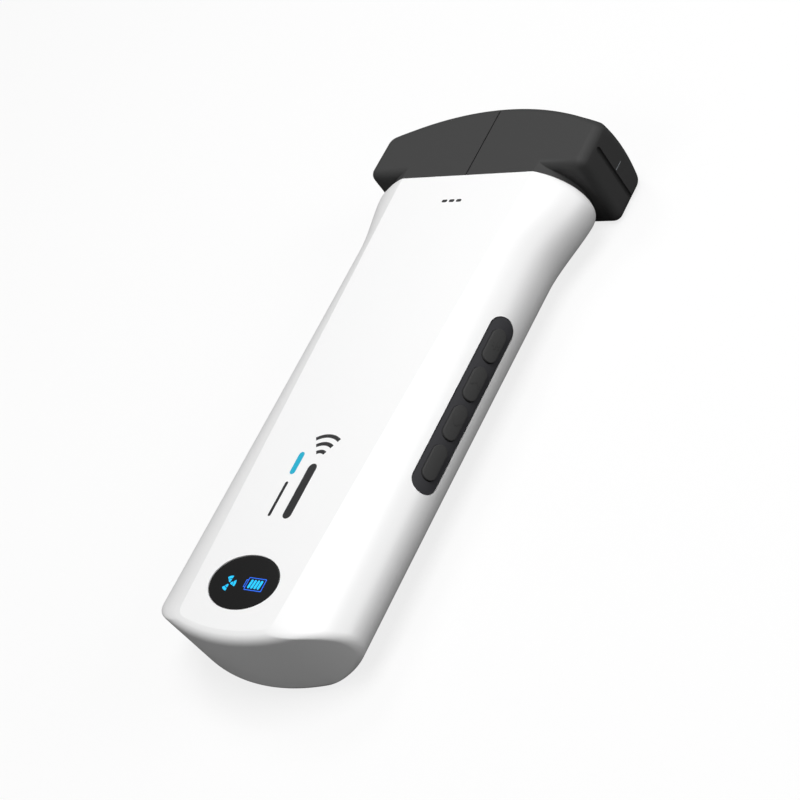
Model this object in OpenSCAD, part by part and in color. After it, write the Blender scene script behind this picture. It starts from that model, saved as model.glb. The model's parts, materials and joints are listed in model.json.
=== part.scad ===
// Handheld wireless convex ultrasound scanner.
// Width runs along X (keypad side is +X), length along Y (scan head at +Y), and the
// front face with its display looks up +Z. The back rests on Z = 0.

/* [Casing] */
// Length over the acoustic lens
total_len = 159.8; // [150:1:200]
// Width of the grip at the display end
body_w = 60.6; // [58:0.2:74]
// How much narrower the grip is at its waist, below the flare
waist_in = 2.2; // [0:0.2:3]
// Thickness from back to front face
thick = 22; // [21:0.5:27]
// How much wider than the grip the casing flares out below the head
flare_out = 6.8; // [4:0.2:12]
// Length of the flare
flare_len = 22; // [15:1:32]
// Width of the flat front face at the display end
flat_end_w = 31; // [28:0.5:36]
// Width of the flat front face at the head joint
flat_head_w = 42.4; // [40:0.5:46]
// Wall thickness of the casing
wall = 2.2; // [2:0.1:2.6]
// Radius of the bowed end in plan
end_r = 55; // [48:1:70]
// Radius of the two end corners in plan
corner_r = 3; // [2.8:0.2:6]
// Rounding between the end and the flat faces
end_fillet = 2.6; // [2:0.1:3.2]
// Rounded lip of the casing at the head joint
lip_r = 3.2; // [2:0.1:4]

/* [Head] */
// How much wider than the flare the scan head is
head_out = 1.8; // [0.4:0.2:4]
// Radius of the convex rim of the head
head_r = 78; // [70:1:90]
// Length of the head from the wing underside to the rim's crown
wing_len = 21.6; // [17:0.2:24]
// Height of the black neck between the casing and the wings
neck_len = 1.7; // [1.2:0.1:4]
// How far the acoustic lens stands proud of the rim
lens_proud = 1.4; // [0.8:0.1:2]
// Width of the lens opening across the thickness
lens_t = 13; // [11:0.5:14]
// Half angle that the transducer array covers
array_half = 21; // [18:0.5:22]

/* [Display] */
// Width of the oval window
window_w = 21.4; // [19:0.2:23]
// Height of the oval window
window_h = 14.3; // [13:0.1:16]
// Distance of the window's centre from the end of the casing
window_from_end = 14.8; // [14:0.2:20]

/* [Keypad] */
// Number of keys
key_count = 4; // [2:1:4]
// Distance between keys
key_pitch = 11; // [10.8:0.1:11.4]
// Length of one key
key_len = 9.2; // [8.5:0.1:9.4]
// Width of one key
key_w = 3.8; // [3.4:0.1:4]
// Length of the rubber pad
pad_len = 49.2; // [47:0.2:52]
// Width of the rubber pad
pad_w = 6.8; // [6.6:0.1:7.4]
// Distance of the pad's centre from the end of the casing
pad_from_end = 71.3; // [68:0.5:90]
// Angle of the pad above the side's middle line
pad_tilt = 24; // [20:1:28]
// Key travel
key_travel = 0.5; // [0.3:0.05:0.6]

/* [Hidden] */
key_nodes = [for (i = [1:key_count]) str("key_", i)];
plunger_nodes = [for (i = [1:key_count]) str("key_plunger_", i)];

arc_fn = 96;      // facets of large round faces
small_fn = 40;    // facets of small round faces
eps = 0.05;
fit = 0.12;       // gap between pieces that slide together
round_p = 2.1;    // roundness of the grip's side, 2 being an ellipse
crease_t = 66;    // angle at which the rounded side meets the flat face
half_t = thick / 2;
flare_w = body_w + flare_out;
head_w = flare_w + head_out;

y_end = -total_len / 2;
y_crown = total_len / 2 - lens_proud;
y_wing = y_crown - wing_len;
y_joint = y_wing - neck_len;
y_window = y_end + window_from_end;
y_pad = y_end + pad_from_end;
y_arc = y_crown - head_r;          // centre of the head's curved faces

function flat_half(y) = (flat_end_w + (flat_head_w - flat_end_w)
    * (y - y_window) / (y_joint - y_window)) / 2;
function ease(t) = t <= 0 ? 0 : t >= 1 ? 1 : t * t * (3 - 2 * t);
function lip(y) = let (s = (y - y_joint + lip_r) / lip_r)
    s <= 0 ? 0 : lip_r * (1 - sqrt(1 - min(s, 1) * min(s, 1)));
y_waist = y_joint - flare_len;
function waist_half(y) = body_w / 2 - waist_in / 2 * max(0, (min(y, y_waist) - y_end) / (y_waist - y_end));
function grip_half(y) = waist_half(y)
    + (flare_out + waist_in) / 2 * ease((y - y_waist) / (flare_len - 1)) - lip(y);

// ---- Cross-section of the rounded side ------------------------------------------
// Each level is [inward share, height share], from the back flat's edge, round the
// side, to the front flat's edge.
side_n = 9;       // levels from the middle line to the flat face
function side_uv(s) = let (t = abs(s) * crease_t)
    [(1 - pow(cos(t), 2 / round_p)) / (1 - pow(cos(crease_t), 2 / round_p)),
     sign(s) * pow(sin(t), 2 / round_p) / pow(sin(crease_t), 2 / round_p)];
levels = [for (j = [-side_n:side_n]) side_uv(j / side_n)];
// How far a rounded edge of radius r has moved in at height z of a half thickness h
function edge_in(z, h, r) = let (q = (abs(z) - h + r) / r)
    q <= 0 ? 0 : r * (1 - sqrt(max(0, 1 - q * q)));

// ---- The grip as one closed skin -------------------------------------------------
// d is how far the skin lies inside the outer surface. Inner skins have no flare.
corner_n = 6;
bow_n = 9;
function skin_half(y, d, flared) = flared ? grip_half(y) : waist_half(y) - d;
function grip_ribs(d, y_top, flared) = let (
    r = end_r - d,
    c = max(corner_r - d, 1.2),
    e = max(end_fillet - d / 2, 1.2),
    h = half_t - d,
    yc0 = y_end + end_r,
    lead = flared ? concat([for (i = [0:5]) y_joint - lip_r * (1 - cos(15 * i))],
        [for (i = [0:8]) y_joint - lip_r - (flare_len - lip_r) * i / 8]) : [y_top],
    // One column of points per level, from the joint round to the middle of the end
    cols = [for (m = levels) let (
        z = half_t + h * m[1],
        f0 = flat_half(y_end + 6) - 0.4 * d,
        w = skin_half(y_end + 6, d, flared) * (1 - m[0]) + f0 * m[0],
        q = r - edge_in(h * m[1], h, e),
        yc = yc0 - sqrt((q - c) * (q - c) - (w - c) * (w - c)),
        beta = asin((w - c) / (q - c)))
        concat(
            [for (y = concat(lead, [yc]))
                [skin_half(y, d, flared) * (1 - m[0]) + (flat_half(y) - 0.4 * d) * m[0], y, z]],
            [for (i = [1:corner_n]) let (a = i / corner_n * (90 - beta))
                [w - c + c * cos(a), yc - c * sin(a), z]],
            [for (i = [1:bow_n]) let (a = beta * (1 - i / bow_n))
                [q * sin(a), yc0 - q * cos(a), z]])],
    half = [for (i = [0:len(cols[0]) - 1]) [for (col = cols) col[i]]])
    concat(half, [for (i = [len(half) - 2:-1:0]) [for (q = half[i]) [-q[0], q[1], q[2]]]]);

module skin(ribs) {
    m = len(ribs);
    k = len(ribs[0]);
    polyhedron(
        points = [for (r = ribs) for (q = r) q],
        faces = concat(
            [for (i = [0:m - 2]) for (j = [0:k - 2]) each
                [[i * k + j, (i + 1) * k + j + 1, i * k + j + 1],
                 [i * k + j, (i + 1) * k + j, (i + 1) * k + j + 1]]],
            [[for (i = [m - 1:-1:0]) i * k],
             [for (i = [0:m - 1]) i * k + k - 1],
             concat([for (j = [k - 1:-1:0]) j], [for (j = [0:k - 1]) (m - 1) * k + j])]));
}

// ---- Straight section near the head joint ----------------------------------------
socket_half = waist_half(y_joint) - wall - 0.4;
function section_pts(w, f, h) = concat(
    [for (j = [-side_n:side_n]) let (m = side_uv(j / side_n)) [w + (f - w) * m[0], h * m[1]]],
    [for (j = [side_n:-1:-side_n]) let (m = side_uv(j / side_n)) [-w - (f - w) * m[0], h * m[1]]]);
// Prism of the grip's section, d inside the neck's surface, from y0 to y1
module neck_prism(d, y0, y1) {
    translate([0, y1, half_t]) rotate([90, 0, 0]) linear_extrude(y1 - y0)
        polygon(section_pts(grip_half(y_joint) - d, flat_half(y_joint) - 0.4 * d, half_t - d));
}
socket_d = grip_half(y_joint) - socket_half;   // inset of the socket that takes the head
socket_len = 7;
spigot_wall = 1.6;

// ---- Rear cover outline ----------------------------------------------------------
cover_y0 = y_end + 10;
cover_y1 = y_joint - 9;
cover_edge = 1.3;              // flat left outside the cover
ledge_end = 11;                // length of the screw ledges
ledge_side = 1.9;
flange_t = 1;
seal_t = 0.4;
function arc_pts(c, r, a0, a1) = [for (i = [0:6]) let (a = a0 + (a1 - a0) * i / 6)
    [c[0] + r * cos(a), c[1] + r * sin(a)]];
// Tapered outline with rounded corners, grown by g, that follows the flat face
module taper(y0, y1, side, r) {
    w0 = flat_half(y0) - side - r;
    w1 = flat_half(y1) - side - r;
    polygon(concat(arc_pts([w1, y1 - r], r, 0, 90), arc_pts([-w1, y1 - r], r, 90, 180),
        arc_pts([-w0, y0 + r], r, 180, 270), arc_pts([w0, y0 + r], r, 270, 360)));
}
module cover_outline(d) {
    taper(cover_y0 + d, cover_y1 - d, cover_edge + d, 4 - min(d, 2));
}
module cover_opening(d) {
    taper(cover_y0 + ledge_end + d, cover_y1 - ledge_end - d, cover_edge + ledge_side + d, 2);
}
screw_sites = [for (s = [-1, 1]) for (e = [[cover_y0 + 5.5, 8.5], [cover_y1 - 5.5, 13]])
    [s * e[1], e[0]]];
boss_top = wall + 5;

module casing() color("white") difference() {
    union() {
        difference() {
            skin(grip_ribs(0, y_joint, true));
            skin(grip_ribs(wall, y_joint - socket_len + eps, false));
            neck_prism(socket_d, y_joint - socket_len, y_joint + 1);
        }
        for (p = screw_sites) translate([p[0], p[1], wall - 0.5])
            cylinder(r = 2.8, h = boss_top - wall + 0.5, $fn = small_fn);
        for (r = rails) translate([r[0] - rail_half, r[1], rail_z])
            cube([2 * rail_half, r[2], rail_t]);
    }
    translate([0, 0, -1]) linear_extrude(1 + flange_t + seal_t) cover_outline(0);
    translate([0, 0, -1]) linear_extrude(2 + wall) cover_opening(0);
    for (p = screw_sites) translate([p[0], p[1], 0])
        cylinder(r = insert_r, h = boss_top - 1, $fn = small_fn);
    for (p = head_screw_sites) translate([p[0], p[1], 0]) screw_hole();
    translate([0, y_window, thick - window_t]) window_plug(0, window_t + 1);
    translate([0, y_window, thick - wall - 1]) window_plug(-window_step, wall + 2);
    side_frame() translate([3, 0, 0]) stadium(pad_len, pad_w, 8);
}
frame_y0 = y_end + 24;
frame_len = 72;
frame_y1 = frame_y0 + frame_len;
// Rails inside the casing that carry the midframe, as [middle X, first Y, length]
rail_z = 9;
rail_t = 1.2;
rail_half = 3.5;
rail_x = body_w / 2 - wall / 2 - rail_half;
rails = [[-rail_x, frame_y0, frame_len], [rail_x, frame_y0, 14]];

// ---- Display -----------------------------------------------------------------------
window_t = 1.1;
window_step = 1.4;
// Oval prism, grown by g
module window_plug(g, h) {
    linear_extrude(h) oval(window_w / 2 + g, window_h / 2 + g);
}
module oval(a, b) {
    polygon([for (i = [0:59]) [a * cos(6 * i), b * sin(6 * i)]]);
}
module display_window() color([0.03, 0.03, 0.04])
    translate([0, y_window, thick - window_t + 0.1]) window_plug(-0.06, window_t - 0.1);
module display_bond_ring() color("dimgray")
    translate([0, y_window, thick - window_t]) difference() {
        window_plug(-0.06, 0.1);
        translate([0, 0, -1]) window_plug(-window_step, 2);
    }
module_t = 1.5;
module display_module() color("darkslategray")
    translate([-window_w / 2 - 0.5, y_window - window_h / 2 + 0.6, thick - wall - module_t])
        cube([window_w + 1, window_h - 1.2, module_t]);
module display_cable() color("goldenrod")
    translate([-4, y_window + window_h / 2 - 0.6, thick - wall - 1.2])
        cube([8, board_y0 - y_window - window_h / 2 + 0.6 + 3, 0.2]);

// ---- Rear cover --------------------------------------------------------------------
screw_r = 0.8;
screw_head_r = 1.6;
screw_seat = 0.8;      // depth of the screw heads' counterbore
cap_t = 0.2;
insert_r = 1.45;
insert_t = 3.4;
module screw_hole() {
    translate([0, 0, -1]) cylinder(r = screw_head_r + 0.05, h = 1 + screw_seat, $fn = small_fn);
    translate([0, 0, -1]) cylinder(r = screw_r + 0.1, h = 7, $fn = small_fn);
}
// Screw seen from its head, with the shank going up
module screw(shank) difference() {
    union() {
        translate([0, 0, cap_t]) cylinder(r = screw_head_r, h = screw_seat - cap_t, $fn = small_fn);
        translate([0, 0, screw_seat - eps]) cylinder(r = screw_r, h = shank, $fn = small_fn);
    }
    cylinder(r = 0.6, h = cap_t + 0.3, $fn = 6);
}
module rear_cover() color("whitesmoke") difference() {
    union() {
        linear_extrude(flange_t) cover_outline(fit);
        translate([0, 0, flange_t - eps]) linear_extrude(wall - flange_t + eps) cover_opening(fit);
        for (p = screw_sites) translate([p[0], p[1], flange_t - eps])
            cylinder(r = 2.4, h = seal_t + eps, $fn = small_fn);
    }
    for (p = screw_sites) translate([p[0], p[1], 0]) screw_hole();
}
module cover_seal() color("dimgray") translate([0, 0, flange_t]) linear_extrude(seal_t)
    difference() {
        cover_outline(fit + 0.2);
        cover_outline(fit + 1.1);
    }
module cover_screws() color("silver") for (p = screw_sites) translate([p[0], p[1], 0]) screw(4);
module head_screws() color("silver") for (p = head_screw_sites) translate([p[0], p[1], 0])
    screw(head_screw_len);
module cover_inserts() color("goldenrod") for (p = screw_sites)
    translate([p[0], p[1], flange_t + seal_t]) difference() {
        cylinder(r = insert_r, h = insert_t, $fn = small_fn);
        translate([0, 0, -1]) cylinder(r = screw_r, h = insert_t + 2, $fn = small_fn);
    }
module screw_caps() color("lightgray") for (p = concat(screw_sites, head_screw_sites))
    translate([p[0], p[1], 0]) cylinder(r = screw_head_r, h = cap_t, $fn = small_fn);

// ---- Scan head ---------------------------------------------------------------------
head_fillet = 2.2;
head_corner = 3.2;
foot_corner = 2.4;
// Plan outline of the head d inside its surface, as [point, inward normal] pairs
function head_loop(d) = let (
    w = head_w / 2 - d, c = max(head_corner - d, 0.8), r = head_r - d, f = max(foot_corner - d, 0.4),
    yb = y_wing + d,
    cy = y_arc + sqrt((r - c) * (r - c) - (w - c) * (w - c)),
    top = atan2(cy - y_arc, w - c))
    concat(
        [for (i = [0:3]) let (a = -90 + 30 * i)
            [w - f + f * cos(a), yb + f + f * sin(a), cos(a), sin(a)]],
        [for (i = [0:5]) let (a = top * i / 5)
            [w - c + c * cos(a), cy + c * sin(a), cos(a), sin(a)]],
        [for (i = [1:15]) let (a = top + (180 - 2 * top) * i / 16)
            [r * cos(a), y_arc + r * sin(a), cos(a), sin(a)]],
        [for (i = [5:-1:0]) let (a = top * i / 5)
            [-w + c - c * cos(a), cy + c * sin(a), -cos(a), sin(a)]],
        [for (i = [3:-1:0]) let (a = -90 + 30 * i)
            [-w + f - f * cos(a), yb + f + f * sin(a), -cos(a), sin(a)]]);
fillet_n = 4;
module head_block(d, fillet) {
    loop = head_loop(d);
    m = len(loop);
    h = half_t - d;
    prof = concat(
        [for (i = [0:fillet_n]) let (a = 90 * i / fillet_n)
            [fillet * (1 - sin(a)), -h + fillet * (1 - cos(a))]],
        [for (i = [fillet_n:-1:0]) let (a = 90 * i / fillet_n)
            [fillet * (1 - sin(a)), h - fillet * (1 - cos(a))]]);
    k = len(prof);
    polyhedron(
        points = [for (q = loop) for (f = prof)
            let (s = min(f[0], fillet)) [q[0] - s * q[2], q[1] - s * q[3], half_t + f[1]]],
        faces = concat(
            [for (i = [0:m - 1]) for (j = [0:k - 2]) let (n = (i + 1) % m) each
                [[i * k + j, i * k + j + 1, n * k + j], [n * k + j, i * k + j + 1, n * k + j + 1]]],
            [[for (i = [0:m - 1]) i * k], [for (i = [m - 1:-1:0]) i * k + k - 1]]));
}
groove_r = 0.8;
module head_housing() color([0.12, 0.12, 0.13]) difference() {
    union() {
        head_block(0, head_fillet);
        neck_prism(0, y_joint, y_wing + 3);
        neck_prism(socket_d + fit, y_joint - socket_len + 0.6, y_joint + 1);
    }
    difference() {
        neck_prism(socket_d + fit + spigot_wall, y_joint - socket_len - 1, y_wing + 3.2);
        for (p = head_screw_sites) translate([p[0], p[1], 0])
            cylinder(r = 2.2, h = half_t - 4.4, $fn = small_fn);
    }
    translate([0, 0, half_t]) linear_extrude(lens_t + 2, center = true)
        polygon([for (q = head_loop(2.6)) [q[0], min(q[1], 90)]]);
    lens_cut();
    for (s = [-1, 1]) translate([s * head_w / 2, y_wing + 7.4, -1])
        cylinder(r = groove_r, h = thick - 1.6, $fn = small_fn);
    seal_groove();
    for (p = head_screw_sites) translate([p[0], p[1], 0])
        cylinder(r = screw_r, h = half_t - 4.4, $fn = small_fn);
}
// Band of an annulus about the head's centre line, across the thickness
module arc_band(r0, r1, half, t) {
    translate([0, y_arc, half_t]) rotate([0, 0, 90 - half]) rotate_extrude(angle = 2 * half, $fn = 180)
        translate([r0, -t / 2]) square([r1 - r0, t]);
}
lens_back = 2.6;
module lens_cut() {
    arc_band(head_r - 8, head_r + 4, array_half + 0.5, lens_t);
}
seal_y = y_joint - socket_len + 1.4;
module seal_groove() {
    difference() {
        neck_prism(socket_d - 1, seal_y, seal_y + 1.4);
        neck_prism(socket_d + fit + 0.8, seal_y - 1, seal_y + 3);
    }
}
module neck_seal() color("dimgray") difference() {
    neck_prism(socket_d, seal_y + 0.1, seal_y + 1.3);
    neck_prism(socket_d + fit + 0.8, seal_y - 1, seal_y + 3);
}
head_screw_sites = [for (s = [-1, 1]) [s * 14, y_joint - 2.8]];
head_screw_len = 5;

// ---- Transducer stack --------------------------------------------------------------
match_t = 0.5;
piezo_t = 0.5;
back_t = 7;
lens_r0 = head_r - lens_back;
element_n = 24;
module acoustic_lens() color([0.35, 0.36, 0.38]) {
    arc_band(lens_r0, head_r + lens_proud, array_half + 0.3, lens_t - 2 * fit);
}
module matching_layer() color("gold") {
    arc_band(lens_r0 - match_t, lens_r0, array_half - 0.5, lens_t - 2);
}
module piezo_elements() color("khaki") {
    step = 2 * (array_half - 0.5) / element_n;
    for (i = [0:element_n - 1])
        translate([0, y_arc, half_t]) rotate([0, 0, 90 - array_half + 0.5 + step * (i + 0.5)])
            translate([lens_r0 - match_t - piezo_t - 0.03, -0.42 * step * PI * lens_r0 / 180, -lens_t / 2 + 1])
                cube([piezo_t, 0.84 * step * PI * lens_r0 / 180, lens_t - 2]);
}
stack_r = lens_r0 - match_t - piezo_t;
module backing_block() color([0.25, 0.25, 0.28])
    arc_band(stack_r - back_t, stack_r - 0.05, array_half - 0.5, lens_t - 2.4);
carrier_r = stack_r - back_t;
module array_carrier() color("gray") difference() {
    arc_band(carrier_r - 1.2, carrier_r + 2, array_half - 0.1, lens_t + 0.8);
    arc_band(carrier_r, carrier_r + 3, array_half - 0.4, lens_t - 1.6);
    translate([-24, 0, half_t - 4]) cube([48, 100, 8]);
}
flex_t = 0.15;
module array_flex(s) {
    translate([-20, y_joint - 8, half_t + s * 5 - flex_t / 2])
        cube([40, carrier_r + y_arc - 3 - y_joint + 8, flex_t]);
}
module array_flex_front() color("orange") array_flex(0.72);
module array_flex_rear() color("darkorange") array_flex(-0.72);
head_board_y0 = y_joint - 34;
module head_board() color("seagreen")
    translate([-20, head_board_y0, half_t - 0.6]) cube([40, 28, 1.2]);
module array_connectors() color("ivory") for (s = [-1, 1])
    translate([-18, y_joint - 12, half_t + (s > 0 ? 0.6 : -0.6 - 2.4)]) cube([36, 3.4, 2.4]);
module head_link_cable() color("goldenrod")
    translate([-8, board_y1 - 4, board_z + board_t + 0.1]) cube([16, head_board_y0 - board_y1 + 4 - fit, 0.2]);

// ---- Frame, boards and battery -------------------------------------------------------
frame_z = rail_z + rail_t;
frame_t = 1.4;
frame_half = rail_x - 0.7;          // reaches over both rails
board_t = 1;
board_z = frame_z + frame_t + 1.6;
board_half = 16.5;
board_y0 = frame_y0 + 2;
board_y1 = frame_y1 - 2;
board_screw_sites = [for (s = [-1, 1]) for (y = [board_y0 + 3, board_y1 - 3]) [s * (board_half - 3), y]];
module midframe() color("slategray") difference() {
    union() {
        translate([-frame_half, frame_y0, frame_z]) cube([frame_half + 18, frame_len, frame_t]);
        translate([0, frame_y0, frame_z]) cube([frame_half, 13, frame_t]);
        for (p = board_screw_sites) translate([p[0], p[1], frame_z + frame_t - eps])
            cylinder(r = 2, h = board_z - frame_z - frame_t + eps, $fn = small_fn);
    }
    for (p = board_screw_sites) translate([p[0], p[1], frame_z - 1])
        cylinder(r = screw_r, h = 10, $fn = small_fn);
    translate([-8, battery_y0 + battery_len - 2, frame_z - 1]) cube([16, 10, frame_t + 2]);
}
module main_board() color("darkgreen") difference() {
    translate([-board_half, board_y0, board_z]) cube([2 * board_half, board_y1 - board_y0, board_t]);
    for (p = board_screw_sites) translate([p[0], p[1], board_z - 1])
        cylinder(r = screw_r + 0.1, h = 4, $fn = small_fn);
}
module board_screws() color("silver") for (p = board_screw_sites)
    translate([p[0], p[1], 0]) difference() {
        union() {
            translate([0, 0, board_z + board_t]) cylinder(r = 1.5, h = 0.8, $fn = small_fn);
            translate([0, 0, frame_z + 0.2]) cylinder(r = screw_r, h = board_z + board_t - frame_z, $fn = small_fn);
        }
        translate([0, 0, board_z + board_t + 0.4]) cylinder(r = 0.6, h = 1, $fn = 6);
    }
chip_sites = [[-8, 14, 9, 9], [6, 12, 6, 8], [-8, 30, 7, 7], [7, 30, 8, 8]];
module board_chips() color([0.1, 0.1, 0.1]) for (c = chip_sites)
    translate([c[0] - c[2] / 2, board_y0 + c[1] - c[3] / 2, board_z + board_t]) cube([c[2], c[3], 1]);
module shield_can() color("lightgray") translate([-14.5, board_y0 + 7, board_z + board_t]) difference() {
    cube([29, 30, 1.7]);
    translate([0.3, 0.3, -1]) cube([28.4, 29.4, 2.4]);
}
module wifi_antenna() color("orangered")
    translate([-6, board_y1 - 24, board_z + board_t]) cube([14, 6, 0.8]);
module heat_spreader() color("silver")
    translate([-14, board_y0 + 8, thick - wall - 0.6]) cube([28, 56, 0.6]);
battery_z = wall + 1.5;
battery_t = rail_z - battery_z - 0.5;
battery_y0 = cover_y0 + ledge_end + 3;
battery_len = 62;
module battery() color("lightsteelblue") translate([-12, battery_y0, battery_z])
    cube([24, battery_len, battery_t]);
module battery_pad() color("gray") translate([-9, battery_y0 + 34, battery_z + battery_t])
    cube([18, 22, frame_z - battery_z - battery_t]);
module battery_lead() color("firebrick") translate([-4, battery_y0 + battery_len, battery_z + 1]) {
    cube([8, 5, 2]);
    translate([1, 4, 0]) cube([6, 1.4, board_z - battery_z - 1.1]);
}
coil_y = (cover_y0 + cover_y1) / 2 - 16;
module charging_coil() color("peru") translate([0, coil_y, wall]) difference() {
    cylinder(r = 11.5, h = 0.6, $fn = arc_fn);
    translate([0, 0, -1]) cylinder(r = 6, h = 3, $fn = arc_fn);
}
module ferrite_sheet() color("dimgray") translate([-12, coil_y - 12, wall + 0.6]) cube([24, 24, 0.6]);

// ---- Keypad ------------------------------------------------------------------------
side_r = 8;
// Local frame of the keypad: +X looks out of the side, +Y is the scanner's length
module side_frame() {
    translate([waist_half(y_pad) - side_r, y_pad, half_t]) rotate([0, -pad_tilt, 0]) children();
}
// Stadium prism along +X
module stadium(l, w, h) {
    for (s = [-1, 1]) translate([0, s * (l - w) / 2, 0]) rotate([0, 90, 0])
        cylinder(r = w / 2, h = h, $fn = small_fn);
    translate([0, -(l - w) / 2, -w / 2]) cube([h, l - w, w]);
}
module side_round(r) {
    translate([0, pad_len, 0]) rotate([90, 0, 0]) cylinder(r = r, h = 2 * pad_len, $fn = arc_fn);
}
key_ys = [for (i = [0:key_count - 1]) ((key_count - 1) / 2 - i) * key_pitch];
// The pad's flange seats behind the wall, and the retainer, switches and board stack behind it
flange_half = pad_w / 2 + 0.6;
flange_x1 = sqrt(pow(side_r - wall, 2) - pow(flange_half, 2)) - 1.1;
flange_x0 = flange_x1 - 0.5;
stack_w = pad_w + 0.4;
retainer_t = 0.9;
switch_x1 = flange_x0 - 1.3;
switch_x0 = switch_x1 - 2;
key_board_t = 0.8;
key_back = flange_x0 + 2.1;
key_flange = 0.6;
key_raise = 0.55;
plunger_r = 0.9;
plunger_x0 = switch_x1 + key_travel + 0.1;
module keypad_mat() color([0.15, 0.15, 0.16]) side_frame() difference() {
    union() {
        intersection() {
            translate([flange_x0, 0, 0]) stadium(pad_len - 2 * fit, pad_w - 2 * fit, 6);
            side_round(side_r - 0.05);
        }
        translate([flange_x0, 0, 0]) stadium(pad_len + 1.6, 2 * flange_half, flange_x1 - flange_x0);
    }
    for (y = key_ys) translate([0, y, 0]) {
        stadium(key_len + 0.24, key_w + 0.24, 10);
        stadium(key_len + 1, key_w + 1, key_back + key_flange + 0.05);
    }
}
module key(i) color([0.18, 0.18, 0.19]) side_frame() translate([0, key_ys[i - 1], 0]) {
    intersection() {
        translate([key_back, 0, 0]) stadium(key_len, key_w, 6);
        side_round(side_r + key_raise);
    }
    translate([key_back, 0, 0]) stadium(key_len + 0.6, key_w + 0.6, key_flange);
}
module key_plunger(i) color("ivory") side_frame() translate([plunger_x0, key_ys[i - 1], 0])
    rotate([0, 90, 0]) cylinder(r = plunger_r, h = key_back - plunger_x0, $fn = small_fn);
module keypad_retainer() color("gray") side_frame() difference() {
    union() {
        translate([flange_x0 - retainer_t, -(pad_len + 1.6) / 2, -stack_w / 2])
            cube([retainer_t, pad_len + 1.6, stack_w]);
        for (s = [-1, 1]) translate([switch_x0, s * (pad_len / 2 - 1.7) - 1.3, -stack_w / 2])
            cube([flange_x0 - retainer_t - switch_x0 + eps, 2.6, stack_w]);
    }
    for (y = key_ys) translate([switch_x1, y, 0]) rotate([0, 90, 0])
        cylinder(r = plunger_r + 0.3, h = 3, $fn = small_fn);
}
module key_board() color("darkgreen") side_frame()
    translate([switch_x0 - key_board_t, -pad_len / 2, -stack_w / 2]) cube([key_board_t, pad_len, stack_w]);
module key_switches() color("silver") side_frame() for (y = key_ys)
    translate([switch_x0, y - 1.7, -1.5]) cube([switch_x1 - switch_x0, 3.4, 3]);
module key_cable() color("goldenrod") side_frame()
    translate([switch_x0 - key_board_t - 0.25, -6, -3]) cube([0.25, 12, 6]);

casing();
rear_cover();
cover_seal();
cover_screws();
cover_inserts();
screw_caps();
head_housing();
neck_seal();
head_screws();
acoustic_lens();
matching_layer();
piezo_elements();
backing_block();
array_carrier();
array_flex_front();
array_flex_rear();
array_connectors();
head_board();
head_link_cable();
midframe();
main_board();
board_chips();
shield_can();
wifi_antenna();
board_screws();
heat_spreader();
battery();
battery_pad();
battery_lead();
charging_coil();
ferrite_sheet();
display_window();
display_bond_ring();
display_module();
display_cable();
keypad_mat();
keypad_retainer();
key_board();
key_switches();
key_cable();
for (i = [1:key_count]) key(i);
for (i = [1:key_count]) key_plunger(i);
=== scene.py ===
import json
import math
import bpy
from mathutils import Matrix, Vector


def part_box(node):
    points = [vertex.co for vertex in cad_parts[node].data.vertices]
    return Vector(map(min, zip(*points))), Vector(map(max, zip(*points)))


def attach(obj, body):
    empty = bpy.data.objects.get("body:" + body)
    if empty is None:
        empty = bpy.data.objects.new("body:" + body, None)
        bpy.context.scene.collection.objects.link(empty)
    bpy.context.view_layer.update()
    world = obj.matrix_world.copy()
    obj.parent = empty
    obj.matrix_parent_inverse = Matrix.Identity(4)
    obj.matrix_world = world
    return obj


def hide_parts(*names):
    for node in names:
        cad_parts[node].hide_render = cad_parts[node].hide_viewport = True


bl_info = {
    "name": "Handheld Ultrasound Scanner",
    "version": (1, 0, 0),
    "blender": (4, 5, 0),
    "location": "View3D > Sidebar > Scanner",
    "description": "Builds the shells, keys, window and lens of a handheld convex scanner",
    "category": "Object",
}

import bmesh
import bpy
import numpy as np
from bpy.props import FloatProperty, FloatVectorProperty, PointerProperty
from bpy.types import Operator, Panel, PropertyGroup
from mathutils import Matrix

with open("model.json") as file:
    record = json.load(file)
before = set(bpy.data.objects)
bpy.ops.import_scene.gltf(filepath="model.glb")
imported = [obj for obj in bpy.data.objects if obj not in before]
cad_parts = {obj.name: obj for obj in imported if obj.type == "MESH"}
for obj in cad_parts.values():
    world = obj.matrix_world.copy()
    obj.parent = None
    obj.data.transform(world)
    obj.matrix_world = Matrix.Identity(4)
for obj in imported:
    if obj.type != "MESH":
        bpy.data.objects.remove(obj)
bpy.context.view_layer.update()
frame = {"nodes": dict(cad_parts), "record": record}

MM = 0.001
COVER_CORNER = 4 * MM      # corner radius of the rear cover
COVER_MARGIN = 1.42 * MM   # from the edge of the flat back to the cover
COVER_GAP = 0.12 * MM      # clearance round the cover and its plug
LEDGE_END = 11 * MM        # ledge left for the cover's screws at both ends
LEDGE_SIDE = 1.9 * MM      # ledge along both sides of the opening
SCREW_HEAD_R = 1.65 * MM   # recess for a screw's head
SCREW_HEAD_DEEP = 0.8 * MM
SHANK_R = 0.9 * MM         # clearance for a cover screw's shank
BORE_R = 0.8 * MM          # thread of a head screw
SHELF = 5 * MM             # head screws stand within this distance of the joint
SPIGOT_GAP = 0.12 * MM     # clearance between the head's spigot and its socket
SOCKET_SKIN = 0.4 * MM     # step between the inner wall and the socket
LINE_DEEP = 0.3 * MM       # depth of the engraved centre line
SWELL_FROM = 26 * MM       # where the rim's swell starts across the width
SWELL_OVER = 8 * MM        # width over which it grows
SWELL_RISE = 12 * MM       # length over which it grows from the wing's underside
KEY_GAP = 0.1 * MM         # clearance round a key in the pad
KEY_BACK = 4.7 * MM        # inner face of a key, in the keypad's frame
FLANGE_BACK = 2.6 * MM     # inner face of the pad's flange
FLANGE_T = 0.5 * MM        # thickness of the pad's flange
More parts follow.
